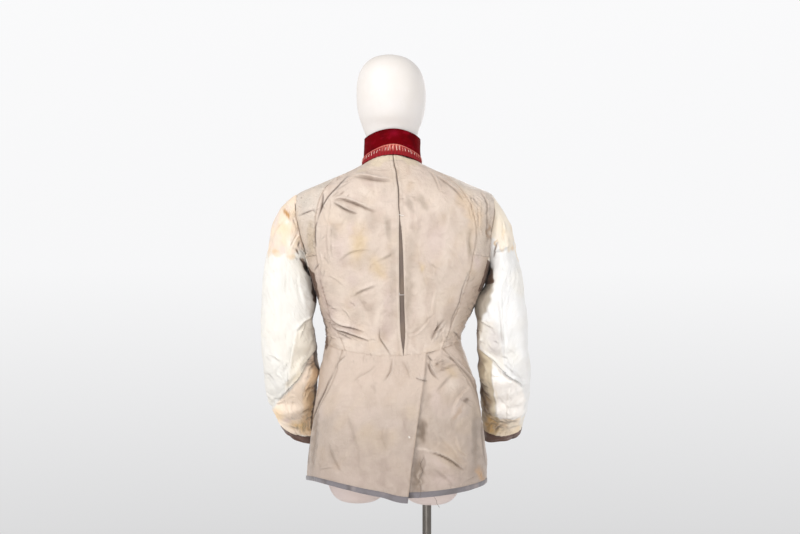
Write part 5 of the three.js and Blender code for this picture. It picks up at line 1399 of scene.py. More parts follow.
MATERIALS = {
    "lining": lining("lining_silk"),
    "skirt": lining("skirt_silk", rough=0.36),
    "shoulder": lining("shoulder_silk", rough=0.36),
    "front": lining("front_silk", rough=0.4),
    "strip": wool("strip_wool", sheen=0.2),
    "hem": wool("hem_wool", nap=0.0003),
    "patch": cotton("patch_cotton"),
    "sleeve": cotton("sleeve_cotton"),
    "cuff": wool("cuff_wool", nap=0.0006),
    "velvet": velvet("collar_velvet"),
    "band": wool("band_cloth", nap=0.0003, rough=0.85, sheen=0.04),
    "form": painted("form_paint", "form"),
    "torso": painted("torso_paint", "form_low"),
    "steel": brushed_steel("stand_steel"),
    "thread": wool("sewing_thread", nap=0.0001),
}

# ---- body pieces ----------------------------------------------------------------------------

BACK_STEP = 2.4
HIDDEN_STEP = 4.2
LEVEL_HIGH = 55               # mm from one level of BODY to the next, about
LEAST_LEVEL = 0.008           # least share of a level between two rows of points
ALLOWANCE = 13                # mm of seam allowance that shows below the neck seam
SKIRT_PALE = dict(above=930, over=90)     # z in mm
SKIRT_LOW = dict(below=960, over=170)
SMALL = dict(body=400, sleeve=401, sleeve_front=402, front=403)    # seeds of the small creases


def levels_between(low, high, step):
    """Levels about step apart on the cloth, closer where the armhole turns under or over."""
    even = np.linspace(low, high, int(math.ceil((high - low) * LEVEL_HIGH / step)) + 1)
    turns = ARMHOLE["level"] + ARMHOLE["high"] * armhole_place(np.arange(0, 181, 3.0))[1]
    turns = turns[(turns > low) & (turns < high)]
    levels = np.sort(np.concatenate([even, turns]))
    keep = [levels[0]]
    for level in levels[1:]:
        if level - keep[-1] > LEAST_LEVEL:
            keep.append(level)
    keep[-1] = high
    return np.array(keep)


def body_relief(angle, point):
    """Folds of the solids, and the slow wandering of cloth that hangs on a form."""
    folds = fold_height(BODY_FOLDS, point[..., 0], point[..., 2]) * (np.abs(angle) < 90)
    flat = point[..., [0, 2]]
    slow = 0.9 * wander(point, 120, 11) + 0.55 * wander(point, 46, 12)
    facets = 1.5 * crumple(flat + 6 * np.stack([wander(flat, 60, 13)] * 2, -1), 46, 14, (1.25, 0.8))
    return folds + slow + facets - 0.8


def body_cloth(levels, inner, outer, step, lift=None, tops=None):
    """A panel's grid from its inner to its outer edge, each an angle for a level."""
    probe = np.linspace(0, 1, 9)[:, None]
    test = body_point(inner(levels) * (1 - probe) + outer(levels) * probe, levels[None])
    width = np.linalg.norm(np.diff(test, axis=0), axis=-1).sum(0).max()
    share = np.linspace(0, 1, int(math.ceil(width / step)) + 1)[:, None]
    level = np.broadcast_to(levels[None], (len(share), len(levels)))
    if tops is not None:
        low = levels[0]
        along = (levels[None] - low) / (levels[-1] - low)
        level = low + (tops(share) - low) * along
    angle = inner(level) * (1 - share) + outer(level) * share
    cloth = Cloth(body_point(angle, level), body_normal(angle, level))
    cloth.angle, cloth.level = angle, level
    cloth.rise += body_relief(angle, cloth.base)
    if lift is not None:
        cloth.rise += lift(level, cloth.base)
    return cloth


def paint_body(cloth, base, low=None):
    cloth.paint(base)
    cloud = wander(cloth.base, 75, 21)
    cloth.mix("back_rose", 0.30 * clamp01(cloud))
    cloth.mix("back_grey", 0.28 * clamp01(-cloud))
    cloth.mottle("back_gold", 0.22, 60, 22)
    if low:
        z = cloth.base[..., 2]
        cloth.mix("back", 0.8 * smooth((z - SKIRT_PALE["above"]) / SKIRT_PALE["over"]))
        cloth.mix(low, smooth((SKIRT_LOW["below"] - z) / SKIRT_LOW["over"]))
    # Painted sheen and painted shade in soft facets across the silk, less on the skirts and fronts
    flat = cloth.base[..., [0, 2]] * np.array([1.3, 0.8])
    sheen = crumple(warped(flat, 40, 23, 9), 40, 25)
    much = 0.15 if low or base == "front" else 0.5
    cloth.mix("back_pale", much * clamp01(sheen * 1.3 - 0.35))
    cloth.mix("skirt_dark" if low else "back_grey", much * clamp01(0.30 - sheen))


def finish_body(cloth):
    # The patches hold painted shade, sheen and highlights as well as stains
    add_patches(cloth, BODY_PATCHES)
    add_creases(cloth, BODY_CREASES + scattered(BODY_SCATTER, SMALL["body"]))
    # Painted shade in the gaps under the arms and along the body's sides, with some outer wool
    add_areas(cloth, BODY_AREAS)
    add_edges(cloth, BODY_EDGES)


def make_back(side, hand):
    levels = levels_between(WAIST, NECK, BACK_STEP)
    cloth = body_cloth(levels, centre_back(side), back_seam(side), BACK_STEP)
    paint_body(cloth, "back")
    open_here = smooth(10.9 - cloth.level) * smooth(cloth.level - 5.1)
    fold = bell(cloth.u - 2.2, 2.0)
    cloth.rise += (0.3 + 0.7 * open_here) * fold - 0.7 * bell(cloth.u - 6.5, 2.2)
    # Painted highlight on the raised fold at the lining's edge, and painted shade in the groove beside it
    cloth.mix("back_pale", (0.35 + 0.35 * open_here) * bell(cloth.u - 2.0, 2.4))
    cloth.mix("back_grey", 0.3 * bell(cloth.u - 7, 2.2))
    sew(cloth, "back", side)
    below = cloth.v[:, -1:] - cloth.v
    cloth.rise += 0.5 * smooth((ALLOWANCE - below) / 1.6)
    cloth.mix("allowance", 0.75 * smooth((ALLOWANCE - below) / 1.5))
    # A thin painted shadow just below the allowance's raised edge
    cloth.mix("line", 0.25 * bell(below - ALLOWANCE - 0.5, 1.3))
    finish_body(cloth)
    cloth_piece(f"back_{hand}", cloth, "lining")
    return cloth


def make_shoulder(side, hand):
    levels = levels_between(SIDE_TOP, NECK, BACK_STEP)
    cloth = body_cloth(levels, back_seam(side), shoulder_outer(side), BACK_STEP)
    paint_body(cloth, "shoulder")
    cloth.mix("back", 0.35 * smooth((12.5 - cloth.level) / 2) * (side > 0))
    sew(cloth, "shoulder", side)
    tan_part = smooth((12.2 - cloth.level) / 0.5)
    small = np.stack([cloth.u, cloth.v * 1.6], -1)
    cloth.rise += tan_part * 0.7 * wander(small, 9, 95)
    finish_body(cloth)
    cloth_piece(f"shoulder_{hand}", cloth, "shoulder")


def side_tops(side):
    """The side panel's top: level at first, then along the foot of the armhole."""
    def tops(share):
        level = np.full(share.shape, SIDE_TOP)
        for _ in range(4):
            angle = back_seam(side)(level) * (1 - share) + side * SIDE_END * share
            level = np.minimum(SIDE_TOP, armhole_bottom(angle))
        return level - 0.006
    return tops


def make_side(side, hand):
    levels = levels_between(WAIST, SIDE_TOP, BACK_STEP)
    outer = lambda level: np.full(np.shape(level), side * SIDE_END)
    cloth = body_cloth(levels, back_seam(side), outer, BACK_STEP, tops=side_tops(side))
    paint_body(cloth, "back")
    cloth.mix("brown", 0.45 * smooth(cloth.u / 50))
    sew(cloth, "side", side)
    small = np.stack([cloth.u * 0.7, cloth.v * 1.3], -1)
    near = smooth(cloth.u / 25) * smooth((1230 - cloth.base[..., 2]) / 60)
    cloth.rise += near * 0.9 * wander(small, 12, 125)
    finish_body(cloth)
    cloth_piece(f"side_{hand}", cloth, "lining")
    return cloth


def make_patch(side, hand, below):
    """A small white piece that lies on the top of the side panel at the armpit."""
    angle = np.abs(below.angle[:, -1])
    start = PATCH["left_from"] if side < 0 else PATCH["right_from"]
    columns = np.where((angle < PATCH["to"]) & (angle > start))[0]
    rows = np.where(below.v[:, -1].min() - below.v[0] < PATCH["high"])[0]
    grid = np.ix_(columns, rows)
    cloth = Cloth(below.points()[grid] + below.normal[grid] * (LIFT + STRIP), below.normal[grid])
    cloth.paint("patch")
    cloth.mottle("tan", 0.5, 18, 130)
    for edge in ("inner", "outer", "low", "high"):
        seam(cloth, edge, 0.5, 0.3, "tan", 131, 5)
    # The painted shade of the gaps under the arms goes on over the patch
    add_areas(cloth, BODY_AREAS)
    cloth_piece(f"patch_{hand}", cloth, "patch", STRIP,
                f"underarm_patch_{hand}")


def make_front(side, hand):
    levels = levels_between(WAIST, NECK, HIDDEN_STEP)
    cloth = body_cloth(levels, front_inner(side), front_outer(side), HIDDEN_STEP, lift=front_recess(side))
    paint_body(cloth, "front")
    sew(cloth, "front", side)
    add_creases(cloth, FRONT_CREASES + scattered(BODY_SCATTER, SMALL["front"]), flip=True)
    # Painted shade under the arms and along the sides, as on the backs
    add_areas(cloth, BODY_AREAS)
    add_edges(cloth, BODY_EDGES)
    cloth_piece(f"front_{hand}", cloth, "front")


def drop_corner(cloth):
    near = smooth(1 - (vent_x(cloth.level) - cloth.base[..., 0]) / VENT["drop_over"])
    cloth.base[..., 2] -= VENT["drop"] * near * clamp01(1 - cloth.level)


def hem_facing(side, hand, where, cloth):
    """The facing along the hem, on the skirt's lowest rows."""
    rows = np.where(cloth.level[0] <= HEM_TOP + 1e-6)[0]
    grid = np.ix_(np.arange(cloth.base.shape[0]), rows)
    facing = Cloth(cloth.points()[grid] + cloth.normal[grid] * (LIFT + STRIP), cloth.normal[grid])
    facing.paint("hem")
    facing.mottle("hem_dark", 0.8, 26, 160)
    facing.mix("back_rose", 0.35 * clamp01(wander(facing.base, 40, 161) - 0.5))
    sew(facing, "hem", side)
    cloth_piece(f"hem_facing_{where}_{hand}", facing, "hem",
                STRIP)


def skirt_levels(in_hem, step):
    return np.unique(np.concatenate([np.linspace(0, HEM_TOP, in_hem), levels_between(HEM_TOP, WAIST, step)]))


def make_skirt_back(side, hand):
    levels = skirt_levels(5, BACK_STEP)
    under = 0 if side < 0 else -VENT["under"]
    inner = lambda level: angle_at(vent_x(level) + under, level)
    cloth = body_cloth(levels, inner, pleat(side), BACK_STEP, lift=skirt_lift(side))
    if side < 0:
        drop_corner(cloth)
    paint_body(cloth, "skirt", low="skirt_low")
    sew(cloth, "skirt_back", side)
    if side < 0:
        cloth.rise += 0.6 * bell(cloth.u - 2.5, 2.2)
        seam(cloth, "inner", 0.2, 0.4, "brown", 195, 14)
    else:
        stitched = bell(cloth.u - 42, 4) * smooth((880 - cloth.base[..., 2]) / 60)
        cloth.rise += 0.9 * stitched * np.cos(cloth.v * 2 * math.pi / 8 + 2 * wander(cloth.base, 40, 196))
    finish_body(cloth)
    cloth_piece(f"skirt_back_{hand}", cloth, "skirt")
    hem_facing(side, hand, "back", cloth)
    return cloth


def make_skirt_front(side, hand):
    levels = skirt_levels(4, HIDDEN_STEP)
    cloth = body_cloth(levels, pleat(side), front_outer(side), HIDDEN_STEP, lift=front_recess(side))
    paint_body(cloth, "skirt", low="skirt_low")
    sew(cloth, "skirt_front", side)
    add_creases(cloth, FRONT_CREASES + scattered(BODY_SCATTER, SMALL["front"]), flip=True)
    finish_body(cloth)
    cloth_piece(f"skirt_front_{hand}", cloth, "skirt")
    hem_facing(side, hand, "front", cloth)


def make_strip():
    """Dark outer cloth between the two lining edges."""
    levels = levels_between(WAIST, NECK, 3)
    edge = lambda way: lambda level: angle_at(line_at(CENTRE_BACK, 1, level) + way * STRIP_HALF, level)
    cloth = body_cloth(levels, edge(-1), edge(1), 2.2)
    cloth.rise -= CLOTH + 0.5
    cloth.paint("strip")
    cloth.mottle("deep", 0.5, 50, 230)
    cloth.rise += 0.6 * bell(cloth.u - STRIP_HALF, 1.2)
    cloth_piece("centre_strip", cloth, "strip", STRIP,
                "centre_back_strip")


# ---- sleeves --------------------------------------------------------------------------------

SLEEVE_STEP = 2.8
CAP_EDGE = 1298               # z of the edge of the sleeve's stained cap
YELLOWED_BELOW = 930          # z below which the sleeve's end is yellowed


def sleeve_levels(side, low, high, step):
    dense = np.linspace(low, high, 600)
    line = np.cumsum(np.linalg.norm(np.diff(sleeve_point(side, 90, dense), axis=0), axis=1))
    line = np.concatenate([[0], line])
    return np.interp(np.linspace(0, line[-1], int(line[-1] / step) + 1), line, dense)


def sleeve_relief(side, psi, s, point):
    turned = np.where(psi < 0, psi + 360, psi)
    folds = fold_height(SLEEVE_FOLDS, turned, s, SLEEVE_SCALE)
    flat = np.stack([psi * 1.02, -point[..., 2]], -1)
    flat = flat + 7 * np.stack([wander(point, 60, 240 + side), wander(point, 60, 250 + side)], -1)
    calm = smooth(s / 1.2)
    slow = 1.3 * wander(point, 95, 260 + side) + 0.8 * wander(point, 38, 270 + side)
    facets = 2.2 * crumple(flat, 44, 280 + side, (0.9, 0.8))
    low = smooth((s - 7) / 3)
    cross = low * 1.2 * wander(np.stack([psi * 0.5, s * 46], -1), 24, 290 + side)
    inside = bell(turned - 180, 50) * smooth((s - 1.5) / 1.2) * smooth((5.8 - s) / 0.9)
    bulge = SLEEVE_BULGE["left" if side < 0 else "right"]
    return folds + calm * (slow + facets + cross - 1.2) + bulge * inside


def sleeve_cloth(side, start, end, s, step):
    psi_share = np.linspace(0, 1, int(360 * 1.02 * 0.5 / step) + 1)[:, None]
    psi = start(s)[None] * (1 - psi_share) + end(s)[None] * psi_share
    level = np.broadcast_to(s[None], psi.shape)
    cloth = Cloth(sleeve_point(side, psi, level), sleeve_normal(side, psi, level))
    cloth.psi, cloth.level = psi, level
    cloth.rise += sleeve_relief(side, psi, level, cloth.base)
    cloth.base[..., 2] -= outer_drop(side, psi, level)
    return cloth


def paint_sleeve(cloth, side):
    base = "left_sleeve" if side < 0 else "right_sleeve"
    cloth.paint(base)
    z = cloth.base[..., 2]
    cloud = wander(cloth.base, 70, 300 + side)
    cloth.mix("cream", 0.45 * clamp01(cloud))
    edge = CAP_EDGE + 15 * wander(cloth.base, 60, 310 + side) + 8 * wander(cloth.base, 18, 311)
    edge = edge + side * 0.25 * (side * 262 - cloth.base[..., 0]) * (cloth.normal[..., 1] < 0.3)
    upper = smooth((z - edge) / 9)
    strength = 0.8 if side < 0 else 0.35
    mottled = 0.7 + 0.5 * wander(cloth.base, 26, 312 + side)
    cloth.mix("cap_sleeve" if side < 0 else "low_sleeve", 0.7 * upper)
    cloth.mix("peach_sleeve", strength * upper * clamp01(mottled))
    cloth.mix("stain", 0.45 * strength * bell(z - edge - 3, 4) * clamp01(mottled))
    low = smooth((YELLOWED_BELOW + 25 * wander(cloth.base, 60, 313) - z) / 50)
    cloth.mix("low_sleeve", 0.7 * low)


def finish_sleeve(cloth):
    # The areas hold painted shade and painted light on the sleeves as well as their own colours
    add_areas(cloth, SLEEVE_AREAS)
    add_patches(cloth, SLEEVE_PATCHES)
    add_creases(cloth, SLEEVE_CREASES + scattered(SLEEVE_SCATTER, SMALL["sleeve"]))
    add_creases(cloth, scattered(SLEEVE_SCATTER, SMALL["sleeve_front"]), flip=True)
    # Painted shade along the sleeves' inner sides and in the gaps under the arms
    add_edges(cloth, SLEEVE_EDGES)
    add_areas(cloth, BODY_AREAS)


def back_arm_seam(s):
    return ARM_SEAM["high"] + (ARM_SEAM["low"] - ARM_SEAM["high"]) * smooth(s / 9)


def make_sleeve(side, hand):
    s = sleeve_levels(side, 0, SLEEVE["cuff"], SLEEVE_STEP)
    front = lambda level: np.full(np.shape(level), float(ARM_SEAM["front"]))
    under_end = lambda level: np.full(np.shape(level), 360.0 + ARM_SEAM["front"])
    parts = {"top": (front, back_arm_seam), "under": (back_arm_seam, under_end)}
    for part, (start, end) in parts.items():
        cloth = sleeve_cloth(side, start, end, s, SLEEVE_STEP)
        paint_sleeve(cloth, side)
        sew(cloth, "sleeve", side)
        first = cloth.base[:, 1] - cloth.base[:, 0]
        cloth.base[:, 0] -= 1.2 * first / np.linalg.norm(first, axis=-1, keepdims=True)
        finish_sleeve(cloth)
        cloth_piece(f"{part}_sleeve_{hand}", cloth, "sleeve")


def outer_drop(side, psi, s):
    """How far the end of the right sleeve hangs down on its outer side, in mm."""
    turned = (psi + 180) % 360 - 180
    return (SLEEVE_DROP if side > 0 else 0) * bell(turned - 30, 55) * smooth((s - 10.8) / 1.6)


def cuff_hang(psi):
    """How far the cuff's lower edge hangs down, mostly on the sleeve's inner side, in mm."""
    turned = (psi + 180) % 360 - 180
    return CUFF_HANG["inner"] * bell(turned - 140, 38) + CUFF_HANG["outer"] * bell(turned - 60, 60)


def make_cuff(side, hand):
    s = sleeve_levels(side, SLEEVE["cuff"] + 0.02, SLEEVE["end"], 1.8)
    level = np.broadcast_to(s[None], (144, len(s)))
    psi = np.broadcast_to(np.arange(0, 360, 2.5)[:, None], level.shape)
    cloth = Cloth(sleeve_point(side, psi, level), sleeve_normal(side, psi, level))
    cloth.rise += sleeve_relief(side, psi, level, cloth.base) + 0.4
    cloth.rise += 0.8 * wander(cloth.base, 22, 360 + side)
    cloth.paint("cuff")
    cloth.mottle("cuff_dark", 0.5, 24, 361)
    joint = bell(psi - 62, 2.2)
    cloth.rise -= 0.9 * joint
    cloth.mix("black_wool_and_shade", 0.6 * joint)
    cloth.rise -= 0.6 * bell(cloth.v, 1.6)
    hang = cuff_hang(psi) * clamp01((level - SLEEVE["cuff"]) / (SLEEVE["end"] - SLEEVE["cuff"]))
    cloth.base[..., 2] -= outer_drop(side, psi, level) + hang
    piece = dress(shell(f"cloth_cuff_{hand}", cloth, CUFF_CLOTH, loop=True, roll=3), f"cuff_{hand}",
                  MATERIALS["cuff"])


# ---- collar ---------------------------------------------------------------------------------

def collar_point(angle, f):
    angle, f = np.broadcast_arrays(np.asarray(angle, float), np.asarray(f, float))
    foot = body_point(angle, np.full(angle.shape, float(NECK))) + np.array([0, 0, COLLAR_ABOVE])
    rings = [ring_point(np.broadcast_to(COLLAR[k], (*angle.shape, 8)), angle, 2.0) for k in (0, 1)]
    f = f[..., None]
    return foot * (1 - f) * (1 - 2 * f) + rings[0] * 4 * f * (1 - f) + rings[1] * f * (2 * f - 1)


def collar_cloth(low, high, step):
    angle = np.linspace(-COLLAR_END, COLLAR_END, int(430 / step) + 1)[:, None]
    f = np.linspace(low, high, int(58 * (high - low) / step) + 2)[None]
    normal = cross_normal(collar_point, angle, np.full(f.shape, 0.5), 1, 0.05)
    normal[..., 2] = 0
    normal /= np.linalg.norm(normal, axis=-1, keepdims=True)
    normal = np.broadcast_to(normal, (angle.shape[0], f.shape[1], 3)).copy()
    cloth = Cloth(collar_point(angle, f), normal)
    cloth.angle, cloth.f = np.broadcast_to(angle, normal.shape[:2]), np.broadcast_to(f, normal.shape[:2])
    return cloth


def above_foot(f):
    """How far a share of the collar's height is above the band's lower edge."""
    return f - BAND["low"] + BAND["under"]


def band_edge(angle):
    """The height of the gathered band's upper edge, highest at the centre back."""
    return 0.30 + 0.14 * bell(angle, 38) - 0.10 * smooth((np.abs(angle) - 50) / 60)


def make_collar():
    cloth = collar_cloth(0, 1, 2.2)
    cloth.rise += 0.5 * wander(cloth.base, 60, 370) + 0.25 * wander(cloth.base, 20, 371)
    cloth.paint("velvet")
    cloth.mottle("velvet_dark", 0.6, 30, 372)
    cloth.mix("velvet_dark", 0.5 * bell(cloth.f - 1, 0.05))
    # A painted pink glint where the velvet's pile would catch the light, high at the centre back
    glint = ((cloth.angle - 2) / 9) ** 2 + ((cloth.f - 0.85) / 0.12) ** 2
    cloth.mix("velvet_painted_glint", 0.3 * np.exp(-glint))
    collar = dress(shell("cloth_collar", cloth, VELVET, roll=5), "collar", MATERIALS["velvet"])

    foot = BAND["low"] - BAND["under"]
    plain = collar_cloth(foot, BAND["high"], 1.3)
    angle, up = plain.angle, np.broadcast_to(np.linspace(0, 1, plain.f.shape[1]), plain.f.shape)
    high = above_foot(band_edge(angle)) * above_foot(plain.f) / above_foot(BAND["high"])
    band = Cloth(collar_point(angle, foot + high) + plain.normal * (LIFT + STRIP), plain.normal)
    pleats = np.cos(np.radians(angle) * 62 + 2.5 * wander(np.stack([angle, 0 * angle], -1), 30, 373))
    gather = bell(angle - 1, 19)
    band.rise += (0.35 + 0.5 * gather) * pleats * np.sin(math.pi * up)
    band.rise += 0.5 * bell(up - 0.96, 0.06)
    band.paint("band")
    band.mix("velvet_dark", 0.35 * clamp01(pleats))
    band.mix("pink", 0.85 * bell(up - 0.95, 0.05))
    band.mix("pink", gather * smooth((up - 0.25) / 0.4) * clamp01(0.35 + 1.1 * pleats))
    piece = dress(shell("cloth_collar_band", band, STRIP), "collar_band", MATERIALS["band"])
    stitches = make_stitches(band, angle, up)
    sheet(cloth)
    sheet(band)


def ring_faces(rings, around):
    """Four-sided faces between closed rings that are numbered one after another."""
    faces = []
    for j in range(rings - 1):
        for i in range(around):
            k = (i + 1) % around
            faces.append([j * around + i, j * around + k, (j + 1) * around + k, (j + 1) * around + i])
    return faces


def end_faces(rings, around):
    """The flat faces that close the first and the last ring."""
    return [list(range(around))[::-1], [(rings - 1) * around + i for i in range(around)]]


def tube(points, radius, sides=6):
    """A round thread along points: its own points and faces, numbered from 0."""
    points = np.asarray(points, float)
    apart = np.linalg.norm(np.diff(points, axis=0), axis=1) > 0.2
    points = points[np.concatenate([[True], apart])]
    way = np.gradient(points, axis=0)
    way /= np.linalg.norm(way, axis=1, keepdims=True)
    first = np.cross(way, np.array([0.31, 0.92, 0.24]))
    first /= np.linalg.norm(first, axis=1, keepdims=True)
    second = np.cross(way, first)
    turn = np.linspace(0, 2 * math.pi, sides, endpoint=False)
    ring = [points + radius * (first * math.cos(t) + second * math.sin(t)) for t in turn]
    faces = ring_faces(len(points), sides) + end_faces(len(points), sides)
    return np.stack(ring, 1).reshape(-1, 3), faces


def joined(name, tubes, colours):
    points, faces, tints = [], [], []
    count = 0
    for (grid, quads), colour in zip(tubes, colours):
        points.append(grid)
        faces += [[count + k for k in face] for face in quads]
        tints.append(np.broadcast_to(colour, grid.shape))
        count += len(grid)
    points = np.concatenate(points)
    return make_mesh(name, points, faces, points[:, [0, 2]], np.concatenate(tints))


def make_stitches(band, angle, up):
    """Slanting stitches of pale thread that hold the band's upper edge."""
    rng = np.random.default_rng(380)
    surface = band.points() + band.normal * 0.35
    columns = angle[:, 0]
    rows = up[0]
    tubes, colours = [], []
    place = -168.0
    while place < 168:
        low, high = rng.uniform(0.42, 0.6), rng.uniform(0.76, 0.9)
        slant = rng.uniform(0.6, 2.2) * (1 if place > 0 else -1)
        line = []
        for share in np.linspace(0, 1, 5):
            i = int(np.argmin(np.abs(columns - (place + slant * share))))
            j = int(np.argmin(np.abs(rows - (high + (low - high) * share))))
            line.append(surface[i, j] + band.normal[i, j] * 0.5 * math.sin(math.pi * share))
        tubes.append(tube(line, 0.5))
        colours.append(tone("pale_pink" if rng.random() < 0.7 else "pink"))
        place += rng.uniform(5.2, 7.6)
    piece = joined("collar_stitches", tubes, colours)
    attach(piece, "root")
    piece.data.materials.append(MATERIALS["thread"])
    return piece


# ---- loose threads --------------------------------------------------------------------------

def on_back(x, y, cloths):
    """The place on the nearest of some cloths behind a pixel of the camera's frame."""
    best = None
    for cloth in cloths:
        off = np.linalg.norm(cloth.spots() - np.array([x, y]), axis=-1)
        off = off + 50 * (cloth.normal[..., 1] > 0.2)
        i, j = np.unravel_index(np.argmin(off), off.shape)
        if best is None or off[i, j] < best[0]:
            best = (off[i, j], cloth.points()[i, j], cloth.normal[i, j])
    return best[1], best[2]


# Threads on the backs or the skirts: where, places, radius mm, colour, height above the cloth mm
THREADS = [
    ("backs", [(399.6, 214.2), (401, 215.4), (402.8, 215.8)], 0.6, "white", 1.2),
    ("backs", [(400.9, 293), (402, 294.6), (403.6, 294.2)], 0.4, "white", 1.0),
    ("skirts", [(415.9, 377.7), (419.5, 380.6), (423, 381), (427.5, 380.4)], 0.45, "thread", 0.8),
    ("skirts", [(423.5, 457), (420.6, 465), (422.6, 472), (419.2, 480), (421.4, 489), (419.6, 496)], 0.32,
     "thread", 0.7),
    ("skirts", [(419.2, 462), (421, 470), (418.6, 477), (420.4, 484), (418, 492)], 0.28, "brown", 0.7),
]
HANGING = [(0, 0, 0), (5.5, 1, -9), (6.5, 2, -16), (12, 3, -24)]      # mm from the hem, below the place
HANGS_AT = (434, 496)


def make_threads(backs, skirts):
    """The bridging stitch at the strip's head, and ends of thread that hang from the seams."""
    hem, _ = on_back(*HANGS_AT, skirts)
    hanging = np.array(HANGING) + hem
    tubes, colours = [tube(hanging, 0.45)], [tone("thread")]
    for where, places, radius, colour, above in THREADS:
        cloths = backs if where == "backs" else skirts
        line = []
        for x, y in drawn(places, 4):
            point, normal = on_back(x, y, cloths)
            line.append(point + normal * (CLOTH * 0.5 + above))
        tubes.append(tube(line, radius))
        colours.append(tone(colour))
    piece = joined("loose_threads", tubes, colours)
    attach(piece, "root")
    piece.data.materials.append(MATERIALS["thread"])


# ---- form and stand -------------------------------------------------------------------------

def skin(rings, low, high):
    """A closed skin over rings, with a pole point at each end."""
    around = rings[0].shape[0]
    points = np.concatenate([*rings, [low], [high]])
    last = len(points) - 1
    faces = []
    for i in range(around):
        k = (i + 1) % around
        faces.append([last - 1, k, i])
        for j in range(len(rings) - 1):
            faces.append([j * around + i, j * around + k, (j + 1) * around + k, (j + 1) * around + i])
        top = (len(rings) - 1) * around
        faces.append([top + i, top + k, last])
    return points, faces


def oval(x, z, across, back, front, around):
    angle = np.radians(np.linspace(-180, 180, around, endpoint=False))
    deep = np.where(np.cos(angle) > 0, back, front)
    return np.stack([x + across * np.sin(angle), -deep * np.cos(angle), np.full(around, z)], -1)


def make_head():
    rows = row_at(HEAD, np.linspace(0, len(HEAD) - 1, 60))
    rings = [oval(x, z, across, back, front, 72) for z, x, across, back, front in rows]
    last = rows[-1]
    for shrink, rise in HEAD_CAP:
        rings.append(oval(HEAD_TOP[0], last[0] + rise, *(last[2:] * shrink), 72))
    points, faces = skin(rings, rings[0].mean(0), np.array([HEAD_TOP[0], 0, HEAD_TOP[1]]))
    piece = make_mesh("head_form", points, faces, sharp=60)
    dress(piece, "form_head", MATERIALS["form"])


def form_ring(level, around, shrink=1.0):
    angle = np.linspace(-180, 180, around, endpoint=False)
    levels = np.full(around, float(level))
    ridge = bell(np.abs(angle) - SEAT["angle"], SEAT["over"])
    seat = ridge * smooth(levels - SEAT["low"]) * smooth(SEAT["high"] - levels)
    inset = FORM_INSET + (SEAT["inset"] - FORM_INSET) * seat
    point = body_point(angle, levels) - body_normal(angle, levels) * inset[:, None]
    return point * np.array([shrink, shrink, 1])


def thigh_stub(side, around=64):
    x = side * STUB["x"] + STUB["shift"]
    bottom = STUB["bottom"] + (STUB["left_above"] if side < 0 else 0)
    depths = np.unique(np.concatenate([np.linspace(0.2, 0.9, 10), 1 - np.geomspace(0.1, 0.003, 10)]))[::-1]
    rings = []
    for depth in depths:
        reach = (1 - depth ** STUB["square"]) ** (1 / STUB["square"])
        rings.append(oval(x, STUB["top"] - depth * (STUB["top"] - bottom), STUB["across"] * reach,
                          STUB["back"] * reach, STUB["front"] * reach, around))
    return skin(rings, np.array([x, 0, bottom]), rings[-1].mean(0))


def make_torso():
    """Torso and thigh stubs in one skin, joined by a fine remesh."""
    around = TORSO["around"]
    rings = [form_ring(1.02, around, 0.8), form_ring(1.15, around, 0.93)]
    rings += [form_ring(level, around) for level in np.linspace(TORSO["low"], TORSO["high"], TORSO["rows"])]
    _, x, across, back, front = HEAD[0]
    rings.append(oval(x, HEAD_FOOT, across, back, front, around))
    parts = [skin(rings, rings[0].mean(0), rings[-1].mean(0)), thigh_stub(-1), thigh_stub(1)]
    points = np.concatenate([part[0] for part in parts])
    faces, count = [], 0
    for part_points, part_faces in parts:
        faces += [[count + k for k in face] for face in part_faces]
        count += len(part_points)
    piece = make_mesh("torso_form", points, faces, sharp=180)
    remesh = piece.modifiers.new("one_skin", "REMESH")
    remesh.mode = "VOXEL"
    remesh.voxel_size = TORSO["voxel"] * MM
    remesh.use_smooth_shade = True
    even = piece.modifiers.new("even", "SMOOTH")
    even.iterations = TORSO["smoothings"]
    even.factor = 0.5
    depsgraph = bpy.context.evaluated_depsgraph_get()
    mesh = bpy.data.meshes.new_from_object(piece.evaluated_get(depsgraph))
    piece.modifiers.clear()
    piece.data = mesh
    mesh.shade_smooth()
    dress(piece, "form_torso", MATERIALS["torso"])


def turned(name, outline, x, sides=96):
    """A turned piece from half its section, (radius, height) places. A closed section makes a ring."""
    turn = np.linspace(0, 2 * math.pi, sides, endpoint=False)
    rings = [np.stack([x + r * np.cos(turn), r * np.sin(turn), np.full(sides, z)], -1) for r, z in outline]
    points = np.concatenate(rings)
    faces = ring_faces(len(outline), sides)
    if outline[0] == outline[-1]:
        points = points[:-sides]
        faces = [[k % len(points) for k in face] for face in faces]
    else:
        faces += end_faces(len(outline), sides)
    return make_mesh(name, points, faces, sharp=40)


def make_stand():
    r, h, e = BASE["radius"], BASE["height"], BASE["edge"]
    corner = [(r - e + e * math.sin(t), h - e + e * math.cos(t)) for t in np.linspace(math.pi / 2, 0, 6)]
    base = turned("round_base", [(r - 0.8, 0), (r, 0.8), *corner], 0, 160)
    dress(base, "stand_base", MATERIALS["steel"])
    pole = turned("round_pole", [(POLE["radius"] - 0.6, POLE["foot"]), (POLE["radius"], POLE["foot"] + 0.6),
                                 (POLE["radius"], POLE["head"] - 0.6), (POLE["radius"] - 0.6,
                                 POLE["head"])],
                  POLE["x"])
    dress(pole, "stand_pole", MATERIALS["steel"])
    low, top, rs = SOCKET["foot"], SOCKET["foot"] + SOCKET["height"], SOCKET["radius"]
    ring = [(SOCKET["bore"], low), (rs, low), (rs, top - 2.5), (rs - 0.7, top - 0.7), (rs - 2.5, top),
            (SOCKET["bore"], top), (SOCKET["bore"], low)]
    socket = turned("socket_ring", ring, POLE["x"])
    dress(socket, "pole_socket", MATERIALS["steel"])


# ---- stage ----------------------------------------------------------------------------------

